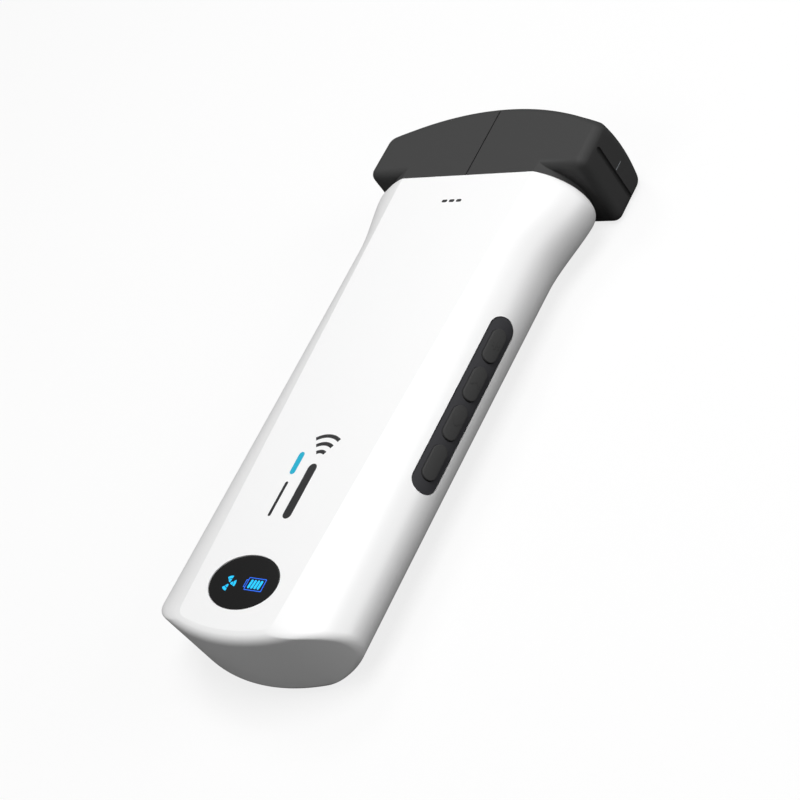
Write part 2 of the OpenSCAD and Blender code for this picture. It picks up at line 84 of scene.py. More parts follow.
FLANGE_OUT = 0.6 * MM      # how far the pad's flange reaches under the casing
KEY_FLANGE_T = 0.6 * MM
KEY_FLANGE_OUT = 0.3 * MM
CASING_LO, CASING_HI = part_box("casing")
HEAD_LO, HEAD_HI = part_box("head_housing")
LENS_LO, LENS_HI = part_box("acoustic_lens")
WINDOW_LO, WINDOW_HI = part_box("display_window")
COVER_LO, COVER_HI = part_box("rear_cover")
PAD_LO, PAD_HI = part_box("keypad_mat")
SCREWS = ("cover_screws", "head_screws")

THICK = CASING_HI.z                       # back to front face
HALF_T = THICK / 2
Y_END = CASING_LO.y                       # display end
Y_JOINT = CASING_HI.y                     # where the head starts
Y_CROWN = HEAD_HI.y                       # rim of the head
HEAD_HALF = HEAD_HI.x
Y_WINDOW = (WINDOW_LO.y + WINDOW_HI.y) / 2
Y_PAD = (PAD_LO.y + PAD_HI.y) / 2
KEYS = sorted(n for n in frame["nodes"] if n.startswith("key_") and n[4:].isdigit())


# ---- Sizes and colours ---------------------------------------------------------------


def length(label, mm, about):
    """A size property in metres, given in millimetres."""
    return FloatProperty(name=label, description=about, default=mm * MM, unit="LENGTH", precision=5)


def colour(label, rgb, about):
    """A colour property in linear light."""
    return FloatVectorProperty(
        name=label, description=about, default=rgb, subtype="COLOR", size=3, min=0.0, max=1.0
    )


class ScannerGripSizes(PropertyGroup):
    """Sizes of the white grip."""

    body_w: length("Body width", 60.6, "Width of the grip at the display end")
    waist_in: length("Waist", 2.2, "How much narrower the grip is at its waist")
    flare_out: length("Flare", 6.8, "How much wider the casing gets below the head")
    flare_len: length("Flare length", 22, "Length of the flare")
    flat_end_w: length("Flat at the end", 31, "Width of the flat face at the display")
    flat_head_w: length("Flat at the head", 42.4, "Width of the flat face at the head joint")
    wall: length("Wall", 2.2, "Wall thickness of the casing")
    end_r: length("End radius", 55, "Radius of the bowed end")
    corner_r: length("Corner radius", 3, "Radius of the two end corners")
    end_fillet: length("End fillet", 2.6, "Rounding between the end and the flat faces")
    lip_r: length("Lip", 3.2, "Rounded lip at the head joint")
    socket_len: length("Socket", 7, "Length of the socket that takes the head")


class ScannerHeadSizes(PropertyGroup):
    """Sizes of the black scan head and its lens."""

    head_r: length("Rim radius", 78, "Radius of the convex rim")
    wing_len: length("Wing length", 21.6, "From the underside of the wings to the rim's crown")
    fillet: length("Edge fillet", 2.2, "Rounding of the front and back edges")
    corner: length("Rim corner", 3.2, "Radius where the ends meet the rim")
    foot: length("Foot corner", 2.4, "Radius where the ends meet the wing undersides")
    bulge: length("Corner swell", 1.7, "How far the rim's corners swell at mid thickness")
    groove_r: length("Groove radius", 0.8, "Radius of the marker groove on each end face")
    groove_up: length("Groove place", 7.4, "Distance of the groove from the wing underside")
    line_w: length("Centre line", 0.42, "Width of the engraved centre line")
    lens_back: length("Lens seat", 2.6, "Depth of the lens below the rim")
    lens_half: FloatProperty(
        name="Lens half angle", description="Half the angle that the lens covers",
        default=math.radians(21.3), subtype="ANGLE",
    )
    lens_crown: length("Lens crown", 0.7, "How far the lens falls off towards its long edges")


class ScannerPadSizes(PropertyGroup):
    """Sizes of the side keypad."""

    side_r: length("Side radius", 8, "Radius of the rounded side under the pad")
    pad_len: length("Pad length", 49.2, "Length of the rubber pad")
    pad_w: length("Pad width", 6.8, "Width of the rubber pad")
    key_len: length("Key length", 9.2, "Length of one key")
    key_w: length("Key width", 3.8, "Width of one key")
    key_raise: length("Key height", 0.55, "How far a key stands proud of the pad")
    pitch: length("Key pitch", 11, "Distance between keys")
    tilt: FloatProperty(
        name="Tilt", description="Angle of the pad above the side's middle line",
        default=math.radians(24), subtype="ANGLE",
    )


class ScannerColours(PropertyGroup):
    """Colours of the visible finishes."""

    white: colour("White shell", (0.80, 0.80, 0.79), "Gloss white of the grip")
    black: colour("Black head", (0.020, 0.020, 0.020), "Fine-grained black of the head")
    pad: colour("Keypad", (0.005, 0.005, 0.0052), "Silicone of the pad and keys")
    window: colour("Window", (0.002, 0.002, 0.0022), "Tinted window")
    cyan: colour("Cyan light", (0.01, 0.55, 1.0), "Bright part of the status symbols")
    blue: colour("Blue light", (0.02, 0.17, 1.0), "Outline of the status symbols")
    print_dark: colour("Dark print", (0.012, 0.012, 0.013), "Dark printed marks")
    print_cyan: colour("Cyan print", (0.0, 0.42, 0.62), "Cyan printed mark")
    floor: colour("Floor", (0.93, 0.93, 0.93), "Pale studio floor")


# ---- Meshes from arrays --------------------------------------------------------------


def flat_rows(part):
    """The planar front and back faces, as a mask over the faces of a bmesh."""
    return {f.index: abs(f.normal.z) > 0.9999 for f in part.faces}


def tidy(me, sharp=25.0):
    """Merges doubles, points faces outward, and marks sharp edges: those that turn by more
    than an angle, and those where a planar front or back face meets a curved side."""
    part = bmesh.new()
    part.from_mesh(me)
    bmesh.ops.remove_doubles(part, verts=part.verts, dist=1e-7)
    bmesh.ops.dissolve_degenerate(part, edges=part.edges, dist=1e-7)
    if part.calc_volume(signed=True) < 0:
        bmesh.ops.reverse_faces(part, faces=part.faces)
    part.normal_update()
    part.faces.index_update()
    flat = flat_rows(part)
    limit = math.radians(sharp)
    for e in part.edges:
        two = e.link_faces
        turn = len(two) == 2 and e.calc_face_angle(0.0) > limit
        rim = len(two) == 2 and flat[two[0].index] != flat[two[1].index]
        e.smooth = not (turn or rim)
    for f in part.faces:
        f.smooth = True
    part.to_mesh(me)
    part.free()
    me.update()


def piece(name, verts, faces):
    """A mesh object at the origin from an (n, 3) array and a list of faces."""
    me = bpy.data.meshes.new(name)
    me.from_pydata(np.asarray(verts, float).reshape(-1, 3).tolist(), [], faces)
    obj = bpy.data.objects.new(name, me)
    bpy.context.scene.collection.objects.link(obj)
    tidy(me)
    return obj


def loft_faces(m, k, start=0):
    """Quads between m rings of k points, closed round each ring, with a face on each end."""
    i, j = np.meshgrid(np.arange(m - 1), np.arange(k), indexing="ij")
    n = (j + 1) % k
    quads = np.stack([i * k + j, i * k + n, (i + 1) * k + n, (i + 1) * k + j], -1).reshape(-1, 4)
    ends = [(start + np.arange(k)[::-1]).tolist(), (start + (m - 1) * k + np.arange(k)).tolist()]
    return (quads + start).tolist() + ends


def loft(name, rings):
    """Closed skin through a stack of rings, given as an (m, k, 3) array."""
    rings = np.asarray(rings, float)
    return piece(name, rings, loft_faces(*rings.shape[:2]))


def lofts(name, stacks):
    """Several closed skins in one piece."""
    verts, faces, start = [], [], 0
    for rings in stacks:
        rings = np.asarray(rings, float)
        verts.append(rings.reshape(-1, 3))
        faces += loft_faces(rings.shape[0], rings.shape[1], start)
        start += len(verts[-1])
    return piece(name, np.concatenate(verts), faces)


def raised(outline, z0, z1):
    """Two rings of a straight prism: the outline at z0 and again at z1."""
    outline = np.asarray(outline, float)
    high = np.ones((len(outline), 1))
    return np.stack([np.hstack([outline, z0 * high]), np.hstack([outline, z1 * high])])


def turn_pad(points):
    """Moves points from the keypad's own frame to the scanner's. There x looks out of the
    side and z runs across the pad: the frame is turned by the tilt about the length."""
    pad, grip = bpy.context.scene.scanner_pad, bpy.context.scene.scanner_grip
    c, s = math.cos(pad.tilt), math.sin(pad.tilt)
    x, y, z = np.moveaxis(np.asarray(points, float), -1, 0)
    x0 = waist_half(np.array([Y_PAD]), grip)[0] - pad.side_r
    return np.stack([x0 + c * x - s * z, Y_PAD + y, HALF_T + s * x + c * z], -1)


def apply_cuts(obj, cuts, sharp=25.0):
    """Cuts or joins each (operation, tool) pair with an exact Boolean and keeps the result."""
    for how, tool in cuts:
        mod = obj.modifiers.new(tool.name, "BOOLEAN")
        mod.operation, mod.solver, mod.object = how, "EXACT", tool
    bpy.context.view_layer.update()
    deps = bpy.context.evaluated_depsgraph_get()
    made = bpy.data.meshes.new_from_object(obj.evaluated_get(deps))
    obj.modifiers.clear()
    old, obj.data = obj.data, made
    bpy.data.meshes.remove(old)
    made.name = obj.name
    for _, tool in cuts:
        mesh = tool.data
        bpy.data.objects.remove(tool)
        bpy.data.meshes.remove(mesh)
    tidy(made, sharp)
    return obj


def settle(obj, material, body="scanner", replaces=()):
    """Gives a finished piece its material and body, and hides the nodes it stands for."""
    obj.data.materials.clear()
    obj.data.materials.append(material)
    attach(obj, body)
    if replaces:
        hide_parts(*replaces)
    return obj


# ---- Shape formulas ------------------------------------------------------------------

ROUND_P = 2.1                    # roundness of the side, 2 being an ellipse
CREASE = math.radians(66)        # where the rounded side meets the flat face


def side_share(s):
    """The rounded side for s from -1 at the back flat to 1 at the front flat, as shares of
    the way inward and of the half thickness. It is a superellipse cut at the crease:
    inward = 1 - cos(t)^(2/p) and height = sin(t)^(2/p), both scaled to reach 1."""
    t = np.abs(s) * CREASE
    e = 2 / ROUND_P
    inward = (1 - np.cos(t) ** e) / (1 - math.cos(CREASE) ** e)
    return inward, np.sign(s) * (np.sin(t) / math.sin(CREASE)) ** e


def waist_half(y, grip):
    """Half width without the flare: it falls in a straight line from the end to the waist."""
    y_waist = Y_JOINT - grip.flare_len
    return grip.body_w / 2 - grip.waist_in / 2 * np.maximum(0, (np.minimum(y, y_waist) - Y_END)
                                                            / (y_waist - Y_END))


def grip_half(y, grip):
    """Half width of the grip: the waist, plus a smoothstep flare, less the quarter-round
    lip at the joint."""
    t = np.clip((y - Y_JOINT + grip.flare_len) / (grip.flare_len - MM), 0, 1)
    s = np.clip((y - Y_JOINT + grip.lip_r) / grip.lip_r, 0, 1)
    flare = (grip.flare_out + grip.waist_in) / 2 * t * t * (3 - 2 * t)
    return waist_half(y, grip) + flare - grip.lip_r * (1 - np.sqrt(1 - s * s))


def flat_half(y, grip):
    """Half width of the flat face, growing in a straight line towards the head."""
    return (grip.flat_end_w + (grip.flat_head_w - grip.flat_end_w)
            * (y - Y_WINDOW) / (Y_JOINT - Y_WINDOW)) / 2


def edge_in(z, half, r):
    """How far a rounded edge of radius r has moved in at height z: r(1 - sqrt(1 - q^2))."""
    q = np.clip((np.abs(z) - half + r) / r, 0, 1)
    return r * (1 - np.sqrt(1 - q * q))


def grip_skin(inset, y_top, flared, levels=31, bow=56):
    """The grip as one closed skin. Each level of the rounded side is a column that runs from
    the head joint along the side, round a corner arc, and along the bowed end to the middle
    line. Its x is half width (1 - inward) + flat half width x inward."""
    grip = bpy.context.scene.scanner_grip
    inward, high = side_share(np.linspace(-1, 1, 2 * levels + 1))
    half = HALF_T - inset
    c = max(grip.corner_r - inset, 1.2 * MM)
    fillet = max(grip.end_fillet - inset / 2, 1.2 * MM)
    width = grip_half if flared else (lambda y, g: waist_half(y, g) - inset)

    def across(y):
        return width(y, grip) * (1 - inward) + (flat_half(y, grip) - 0.4 * inset) * inward

    w = across(np.full_like(inward, Y_END + 6 * MM))
    q = grip.end_r - inset - edge_in(half * high, half, fillet)
    y_mid = Y_END + grip.end_r
    y_corner = y_mid - np.sqrt((q - c) ** 2 - (w - c) ** 2)
    beta = np.arcsin((w - c) / (q - c))
    lead = np.array([y_top])
    if flared:
        lip = Y_JOINT - grip.lip_r * (1 - np.cos(np.linspace(0, math.pi / 2, 12)))
        lead = np.concatenate([lip, np.linspace(Y_JOINT - grip.lip_r, Y_JOINT - grip.flare_len, 22)[1:]])
    t = np.linspace(0, 1, 70)[1:, None]
    y_line = lead[-1] + (y_corner - lead[-1]) * t
    x_line = across(y_line) + (w - across(y_corner)) * t ** 3
    y_lead = np.repeat(lead[:, None], len(inward), 1)
    a = np.linspace(0, 1, 13)[1:, None] * (math.pi / 2 - beta)
    b = (1 - np.linspace(0, 1, bow)[1:, None]) * beta
    x = np.concatenate([across(y_lead), x_line, w - c + c * np.cos(a), q * np.sin(b)])
    y = np.concatenate([y_lead, y_line, y_corner - c * np.sin(a), y_mid - q * np.cos(b)])
    z = np.broadcast_to(HALF_T + half * high, x.shape)
    right = np.stack([x, y, z], -1)
    left = right[-2::-1] * np.array([-1.0, 1.0, 1.0])
    return np.concatenate([right, left])


def skin_faces(m, k):
    """Faces of a skin of m ribs of k points: the quads, both flats and the open end's cap."""
    i, j = np.meshgrid(np.arange(m - 1), np.arange(k - 1), indexing="ij")
    quads = np.stack([i * k + j, (i + 1) * k + j, (i + 1) * k + j + 1, i * k + j + 1], -1)
    back = (np.arange(m)[::-1] * k).tolist()
    front = (np.arange(m) * k + k - 1).tolist()
    cap = np.arange(k)[::-1].tolist() + ((m - 1) * k + np.arange(k)).tolist()
    return quads.reshape(-1, 4).tolist() + [back, front, cap]


def neck_section(inset, levels=31):
    """Outline of the grip's section at the head joint, moved in by the inset."""
    grip = bpy.context.scene.scanner_grip
    y = np.array([Y_JOINT])
    inward, high = side_share(np.linspace(-1, 1, 2 * levels + 1))
    w = grip_half(y, grip)[0] - inset
    x = w + (flat_half(y, grip)[0] - 0.4 * inset - w) * inward
    z = HALF_T + (HALF_T - inset) * high
    right = np.stack([x, z], -1)
    return np.concatenate([right, right[::-1] * np.array([-1.0, 1.0])])


def neck_prism(name, inset, y0, y1):
    """Straight bar of the neck's section between two places along the length."""
    section = neck_section(inset)
    rings = [np.stack([section[:, 0], np.full(len(section), y), section[:, 1]], -1) for y in (y0, y1)]
    return loft(name, rings)


def stadium(l, w, n=24):
    """Outline of a bar with round ends, l long and w wide, as (along, across) points."""
    a = np.linspace(-math.pi / 2, math.pi / 2, n)
    up = np.stack([(l - w) / 2 + w / 2 * np.cos(a), w / 2 * np.sin(a)], -1)
    return np.concatenate([up, -up])


def pad_prism(name, l, w, x0, x1, y=0.0):
    """Bar with round ends that looks out of the side, from x0 to x1 in the keypad's frame."""
    along, across = stadium(l, w).T
    rings = [np.stack([np.full_like(along, x), along + y, across], -1) for x in (x0, x1)]
    return loft(name, turn_pad(rings))


def rod(name, x, y, r, z0, z1, dome=0.0, n=48):
    """Upright rod whose top is drawn in as an ellipse over the dome's height."""
    a = np.linspace(0, 2 * math.pi, n, endpoint=False)
    t = np.linspace(0, math.pi / 2 * 0.97, 9) if dome else np.array([0.0])
    radii = np.concatenate([[r], r * np.cos(t)])
    highs = np.concatenate([[z0], z1 - dome + dome * np.sin(t)])
    rings = [np.stack([x + q * np.cos(a), y + q * np.sin(a), np.full(n, z)], -1)
             for q, z in zip(radii, highs)]
    return loft(name, rings)


def oval(a, b, n=120):
    """Points of an ellipse about the window's centre."""
    t = np.linspace(0, 2 * math.pi, n, endpoint=False)
    return np.stack([a * np.cos(t), Y_WINDOW + b * np.sin(t)], -1)


def cover_outline(end, side, tight):
    """Tapered outline of the rear cover with rounded corners, moved in by one distance at
    both ends and by another along the sides, which follow the edges of the flat face."""
    grip = bpy.context.scene.scanner_grip
    y0, y1 = COVER_LO.y + end, COVER_HI.y - end
    r = max(COVER_CORNER - side, tight)
    w0, w1 = flat_half(np.array([y0, y1]), grip) - (COVER_MARGIN + side + r)
    a = np.linspace(0, math.pi / 2, 13)
    quarter = np.stack([r * np.cos(a), r * np.sin(a)], -1)
    turned = np.stack([-r * np.sin(a), r * np.cos(a)], -1)
    return np.concatenate([quarter + [w1, y1 - r], turned + [-w1, y1 - r],
                           -quarter + [-w0, y0 + r], -turned + [w0, y0 + r]])


def screw_places():
    """Centre of each screw head on the back, read from the CAD screws."""
    places = []
    for node in SCREWS:
        me = frame["nodes"][node].data
        co = np.zeros(len(me.vertices) * 3)
        me.vertices.foreach_get("co", co)
        co = co.reshape(-1, 3)
        for sx in (-1, 1):
            half = co[co[:, 0] * sx > 0]
            mid = (half[:, 1].min() + half[:, 1].max()) / 2
            groups = [half[half[:, 1] < mid], half[half[:, 1] >= mid]]
            if np.ptp(half[:, 1]) < 6 * MM:
                groups = [half]
            places += [tuple((g.min(0)[:2] + g.max(0)[:2]) / 2) for g in groups]
    return places


# ---- Materials -----------------------------------------------------------------------


def node_group(name, inputs, outputs):
    """An empty shader group with named sockets."""
    tree = bpy.data.node_groups.new(name, "ShaderNodeTree")
    for label, kind, default in inputs:
        made = tree.interface.new_socket(name=label, in_out="INPUT", socket_type=kind)
        made.default_value = default
    for label, kind in outputs:
        tree.interface.new_socket(name=label, in_out="OUTPUT", socket_type=kind)
    return tree, tree.nodes.new("NodeGroupInput"), tree.nodes.new("NodeGroupOutput")


def add(tree, kind, **values):
    """Adds a node and sets its attributes."""
    node = tree.nodes.new(kind)
    for key, value in values.items():
        setattr(node, key, value)
    return node


def wire(tree, *pairs):
    """Joins pairs of sockets."""
    for a, b in pairs:
        tree.links.new(a, b)


def grain_group():
    """Moulded grain: two sizes of noise on the piece's own coordinates, summed to a height
    and thresholded to a mask of the high spots."""
    tree, entry, leave = node_group(
        "Moulded Grain",
        [("Size", "NodeSocketFloat", 2500.0), ("Softness", "NodeSocketFloat", 0.5)],
        [("Height", "NodeSocketFloat"), ("Mask", "NodeSocketFloat")],
    )
    where = add(tree, "ShaderNodeTexCoord")
    fine = add(tree, "ShaderNodeTexNoise")
    fine.inputs["Detail"].default_value = 3
    coarse = add(tree, "ShaderNodeTexVoronoi", feature="SMOOTH_F1")
    both = add(tree, "ShaderNodeMath", operation="MULTIPLY_ADD")
    both.inputs[1].default_value = 0.6
    mask = add(tree, "ShaderNodeMapRange")
    mask.inputs["From Min"].default_value = 0.45
    mask.inputs["From Max"].default_value = 0.75
    wire(tree, (where.outputs["Object"], fine.inputs["Vector"]),
         (where.outputs["Object"], coarse.inputs["Vector"]),
         (entry.outputs["Size"], fine.inputs["Scale"]),
         (entry.outputs["Size"], coarse.inputs["Scale"]),
         (entry.outputs["Softness"], coarse.inputs["Smoothness"]),
         (coarse.outputs["Distance"], both.inputs[0]),
         (fine.outputs["Fac"], both.inputs[2]),
         (both.outputs[0], leave.inputs["Height"]),
         (fine.outputs["Fac"], mask.inputs["Value"]),
         (mask.outputs[0], leave.inputs["Mask"]))
    return tree


def handling_group():
    """Marks of handling: broad soft patches of skin oil, as a mask."""
    tree, entry, leave = node_group(
        "Handling Marks",
        [("Patch Size", "NodeSocketFloat", 60.0), ("Amount", "NodeSocketFloat", 0.5)],
        [("Mask", "NodeSocketFloat")],
    )
    where = add(tree, "ShaderNodeTexCoord")
    patch = add(tree, "ShaderNodeTexNoise")
    patch.inputs["Detail"].default_value = 5
    patch.inputs["Roughness"].default_value = 0.6
    spread = add(tree, "ShaderNodeMapRange")
    spread.inputs["From Min"].default_value = 0.38
    spread.inputs["From Max"].default_value = 0.7
    less = add(tree, "ShaderNodeMath", operation="MULTIPLY")
    wire(tree, (where.outputs["Object"], patch.inputs["Vector"]),
         (entry.outputs["Patch Size"], patch.inputs["Scale"]),
         (patch.outputs["Fac"], spread.inputs["Value"]),
         (spread.outputs[0], less.inputs[0]), (entry.outputs["Amount"], less.inputs[1]),
         (less.outputs[0], leave.inputs["Mask"]))
    return tree


def edge_wear_and_highlight_group():
    """Edge wear and painted highlight: the mesh's own convexity, broken up by noise, as a mask of rubbed
    edges; on the keys the lighter colour it brings also stands in for light catching the edges.
    """
    tree, entry, leave = node_group(
        "Edge Wear And Highlight",
        [("Amount", "NodeSocketFloat", 0.5), ("Break Up", "NodeSocketFloat", 400.0)],
        [("Mask", "NodeSocketFloat")],
    )
    shape = add(tree, "ShaderNodeNewGeometry")
    edge = add(tree, "ShaderNodeMapRange")
    edge.inputs["From Min"].default_value = 0.53
    edge.inputs["From Max"].default_value = 0.62
    where = add(tree, "ShaderNodeTexCoord")
    noise = add(tree, "ShaderNodeTexNoise")
    rough = add(tree, "ShaderNodeMath", operation="MULTIPLY")
    less = add(tree, "ShaderNodeMath", operation="MULTIPLY")
    wire(tree, (shape.outputs["Pointiness"], edge.inputs["Value"]),
         (where.outputs["Object"], noise.inputs["Vector"]),
         (entry.outputs["Break Up"], noise.inputs["Scale"]),
         (edge.outputs[0], rough.inputs[0]), (noise.outputs["Fac"], rough.inputs[1]),
         (rough.outputs[0], less.inputs[0]), (entry.outputs["Amount"], less.inputs[1]),
         (less.outputs[0], leave.inputs["Mask"]))
    return tree


def brushed_group():
    """Brushed metal or rolled film: noise stretched along the length, as height and mask."""
    tree, entry, leave = node_group(
        "Brushed Lines",
        [("Fineness", "NodeSocketFloat", 900.0)],
        [("Height", "NodeSocketFloat"), ("Mask", "NodeSocketFloat")],
    )
    where = add(tree, "ShaderNodeTexCoord")
    stretch = add(tree, "ShaderNodeMapping")
    stretch.inputs["Scale"].default_value = (1.0, 0.04, 1.0)
    noise = add(tree, "ShaderNodeTexNoise")
    noise.inputs["Detail"].default_value = 4
    wire(tree, (where.outputs["Object"], stretch.inputs["Vector"]),
         (stretch.outputs[0], noise.inputs["Vector"]),
         (entry.outputs["Fineness"], noise.inputs["Scale"]),
         (noise.outputs["Fac"], leave.inputs["Height"]),
         (noise.outputs["Fac"], leave.inputs["Mask"]))
    return tree


GROUP_MAKERS = {
    "Moulded Grain": grain_group,
    "Handling Marks": handling_group,
    "Edge Wear And Highlight": edge_wear_and_highlight_group,
    "Brushed Lines": brushed_group,
}


def use_group(tree, name, **values):
    """Places a shared group in a material, making the group the first time."""
    node = tree.nodes.new("ShaderNodeGroup")
    node.node_tree = bpy.data.node_groups.get(name) or GROUP_MAKERS[name]()
    for key, value in values.items():
        node.inputs[key.replace("_", " ")].default_value = value
    return node


def blend_colours(tree, mask, base, second):
    """A mix node from base to second by a mask, returning its colour socket."""
    mix = add(tree, "ShaderNodeMix", data_type="RGBA")
    mix.inputs["A"].default_value = (*base, 1)
    mix.inputs["B"].default_value = (*second, 1)
    wire(tree, (mask, mix.inputs["Factor"]))
    return mix.outputs["Result"]


def blend_values(tree, mask, low, high):
    """A map range node from low to high by a mask, returning its value socket."""
    span = add(tree, "ShaderNodeMapRange")
    span.inputs["To Min"].default_value = low
    span.inputs["To Max"].default_value = high
    wire(tree, (mask, span.inputs["Value"]))
    return span.outputs[0]


def bump_normal(tree, height, shader, depth):
    """A bump of the given depth in metres that feeds the shader's Normal."""
    bump = add(tree, "ShaderNodeBump")
    bump.inputs["Distance"].default_value = depth
    bump.inputs["Strength"].default_value = 1.0
    wire(tree, (height, bump.inputs["Height"]), (bump.outputs[0], shader.inputs["Normal"]))


def moulded(name, base, second, rough, grain, depth, edge_wear_and_highlight=0.15, coat=0.0, coat_rough=0.1,
            specular=0.5, patches=45.0):
    """Moulded plastic or rubber: grain in the bump, patches of handling in the roughness,
    and colour that shifts a little with the grain and along convex edges, which is rubbed wear and, on the
    keys, also a painted highlight."""
    mat = bpy.data.materials.new(name)
    mat.use_nodes = True
    tree = mat.node_tree
    shader = tree.nodes["Principled BSDF"]
    skin = use_group(tree, "Moulded Grain", Size=grain)
    marks = use_group(tree, "Handling Marks", Patch_Size=patches, Amount=0.8)
    edges = use_group(tree, "Edge Wear And Highlight", Amount=edge_wear_and_highlight)
    both = add(tree, "ShaderNodeMath", operation="MAXIMUM")
    soft = add(tree, "ShaderNodeMath", operation="MULTIPLY")
    soft.inputs[1].default_value = 0.5
    wire(tree, (skin.outputs["Mask"], soft.inputs[0]), (soft.outputs[0], both.inputs[0]),
         (edges.outputs["Mask"], both.inputs[1]),
         (blend_colours(tree, both.outputs[0], base, second), shader.inputs["Base Color"]),
         (blend_values(tree, marks.outputs["Mask"], *rough), shader.inputs["Roughness"]))
    shader.inputs["Specular IOR Level"].default_value = specular
    shader.inputs["Coat Weight"].default_value = coat
    shader.inputs["Coat Roughness"].default_value = coat_rough
    bump_normal(tree, skin.outputs["Height"], shader, depth)
    mat.diffuse_color = (*base, 1)
    return mat


def metal(name, base, second, rough, fineness=900.0, depth=4e-6):
    """Brushed or rolled metal: streaks in colour, roughness and bump."""
    mat = bpy.data.materials.new(name)
    mat.use_nodes = True
    tree = mat.node_tree
    shader = tree.nodes["Principled BSDF"]
    lines = use_group(tree, "Brushed Lines", Fineness=fineness)
    edges = use_group(tree, "Edge Wear And Highlight", Amount=0.6)
    both = add(tree, "ShaderNodeMath", operation="MAXIMUM")
    wire(tree, (lines.outputs["Mask"], both.inputs[0]), (edges.outputs["Mask"], both.inputs[1]),
         (blend_colours(tree, both.outputs[0], base, second), shader.inputs["Base Color"]),
         (blend_values(tree, lines.outputs["Mask"], *rough), shader.inputs["Roughness"]))
    shader.inputs["Metallic"].default_value = 1.0
    bump_normal(tree, lines.outputs["Height"], shader, depth)
    mat.diffuse_color = (*base, 1)
    return mat


def board_finish(name, base, second):
    """Circuit board: solder mask with copper tracks showing as a brighter grid under it."""
    mat = moulded(name, base, base, (0.25, 0.4), 900.0, 2e-6, coat=0.4)
    tree = mat.node_tree
    shader = tree.nodes["Principled BSDF"]
    where = add(tree, "ShaderNodeTexCoord")
    tracks = add(tree, "ShaderNodeTexBrick", offset=0.35, squash=0.6)
    tracks.inputs["Scale"].default_value = 260
    tracks.inputs["Mortar Size"].default_value = 0.06
    tracks.inputs["Color1"].default_value = (*base, 1)
    tracks.inputs["Color2"].default_value = (*[0.8 * c for c in base], 1)
    tracks.inputs["Mortar"].default_value = (*second, 1)
    wire(tree, (where.outputs["Object"], tracks.inputs["Vector"]),
         (tracks.outputs["Color"], shader.inputs["Base Color"]))
    return mat


def light_finish(name, base, strength):
    """Lit display segment: emission with a fine dot pattern in its colour."""
    mat = moulded(name, [0.1 * c for c in base], base, (0.2, 0.3), 4000.0, 1e-6, edge_wear_and_highlight=0.0)
    tree = mat.node_tree
    shader = tree.nodes["Principled BSDF"]
    where = add(tree, "ShaderNodeTexCoord")
    dots = add(tree, "ShaderNodeTexChecker")
    dots.inputs["Scale"].default_value = 7000
    dots.inputs["Color1"].default_value = (*base, 1)
    dots.inputs["Color2"].default_value = (*[min(1.0, 0.85 * c + 0.03) for c in base], 1)
    wire(tree, (where.outputs["Object"], dots.inputs["Vector"]),
         (dots.outputs["Color"], shader.inputs["Emission Color"]))
    shader.inputs["Emission Strength"].default_value = strength
    return mat


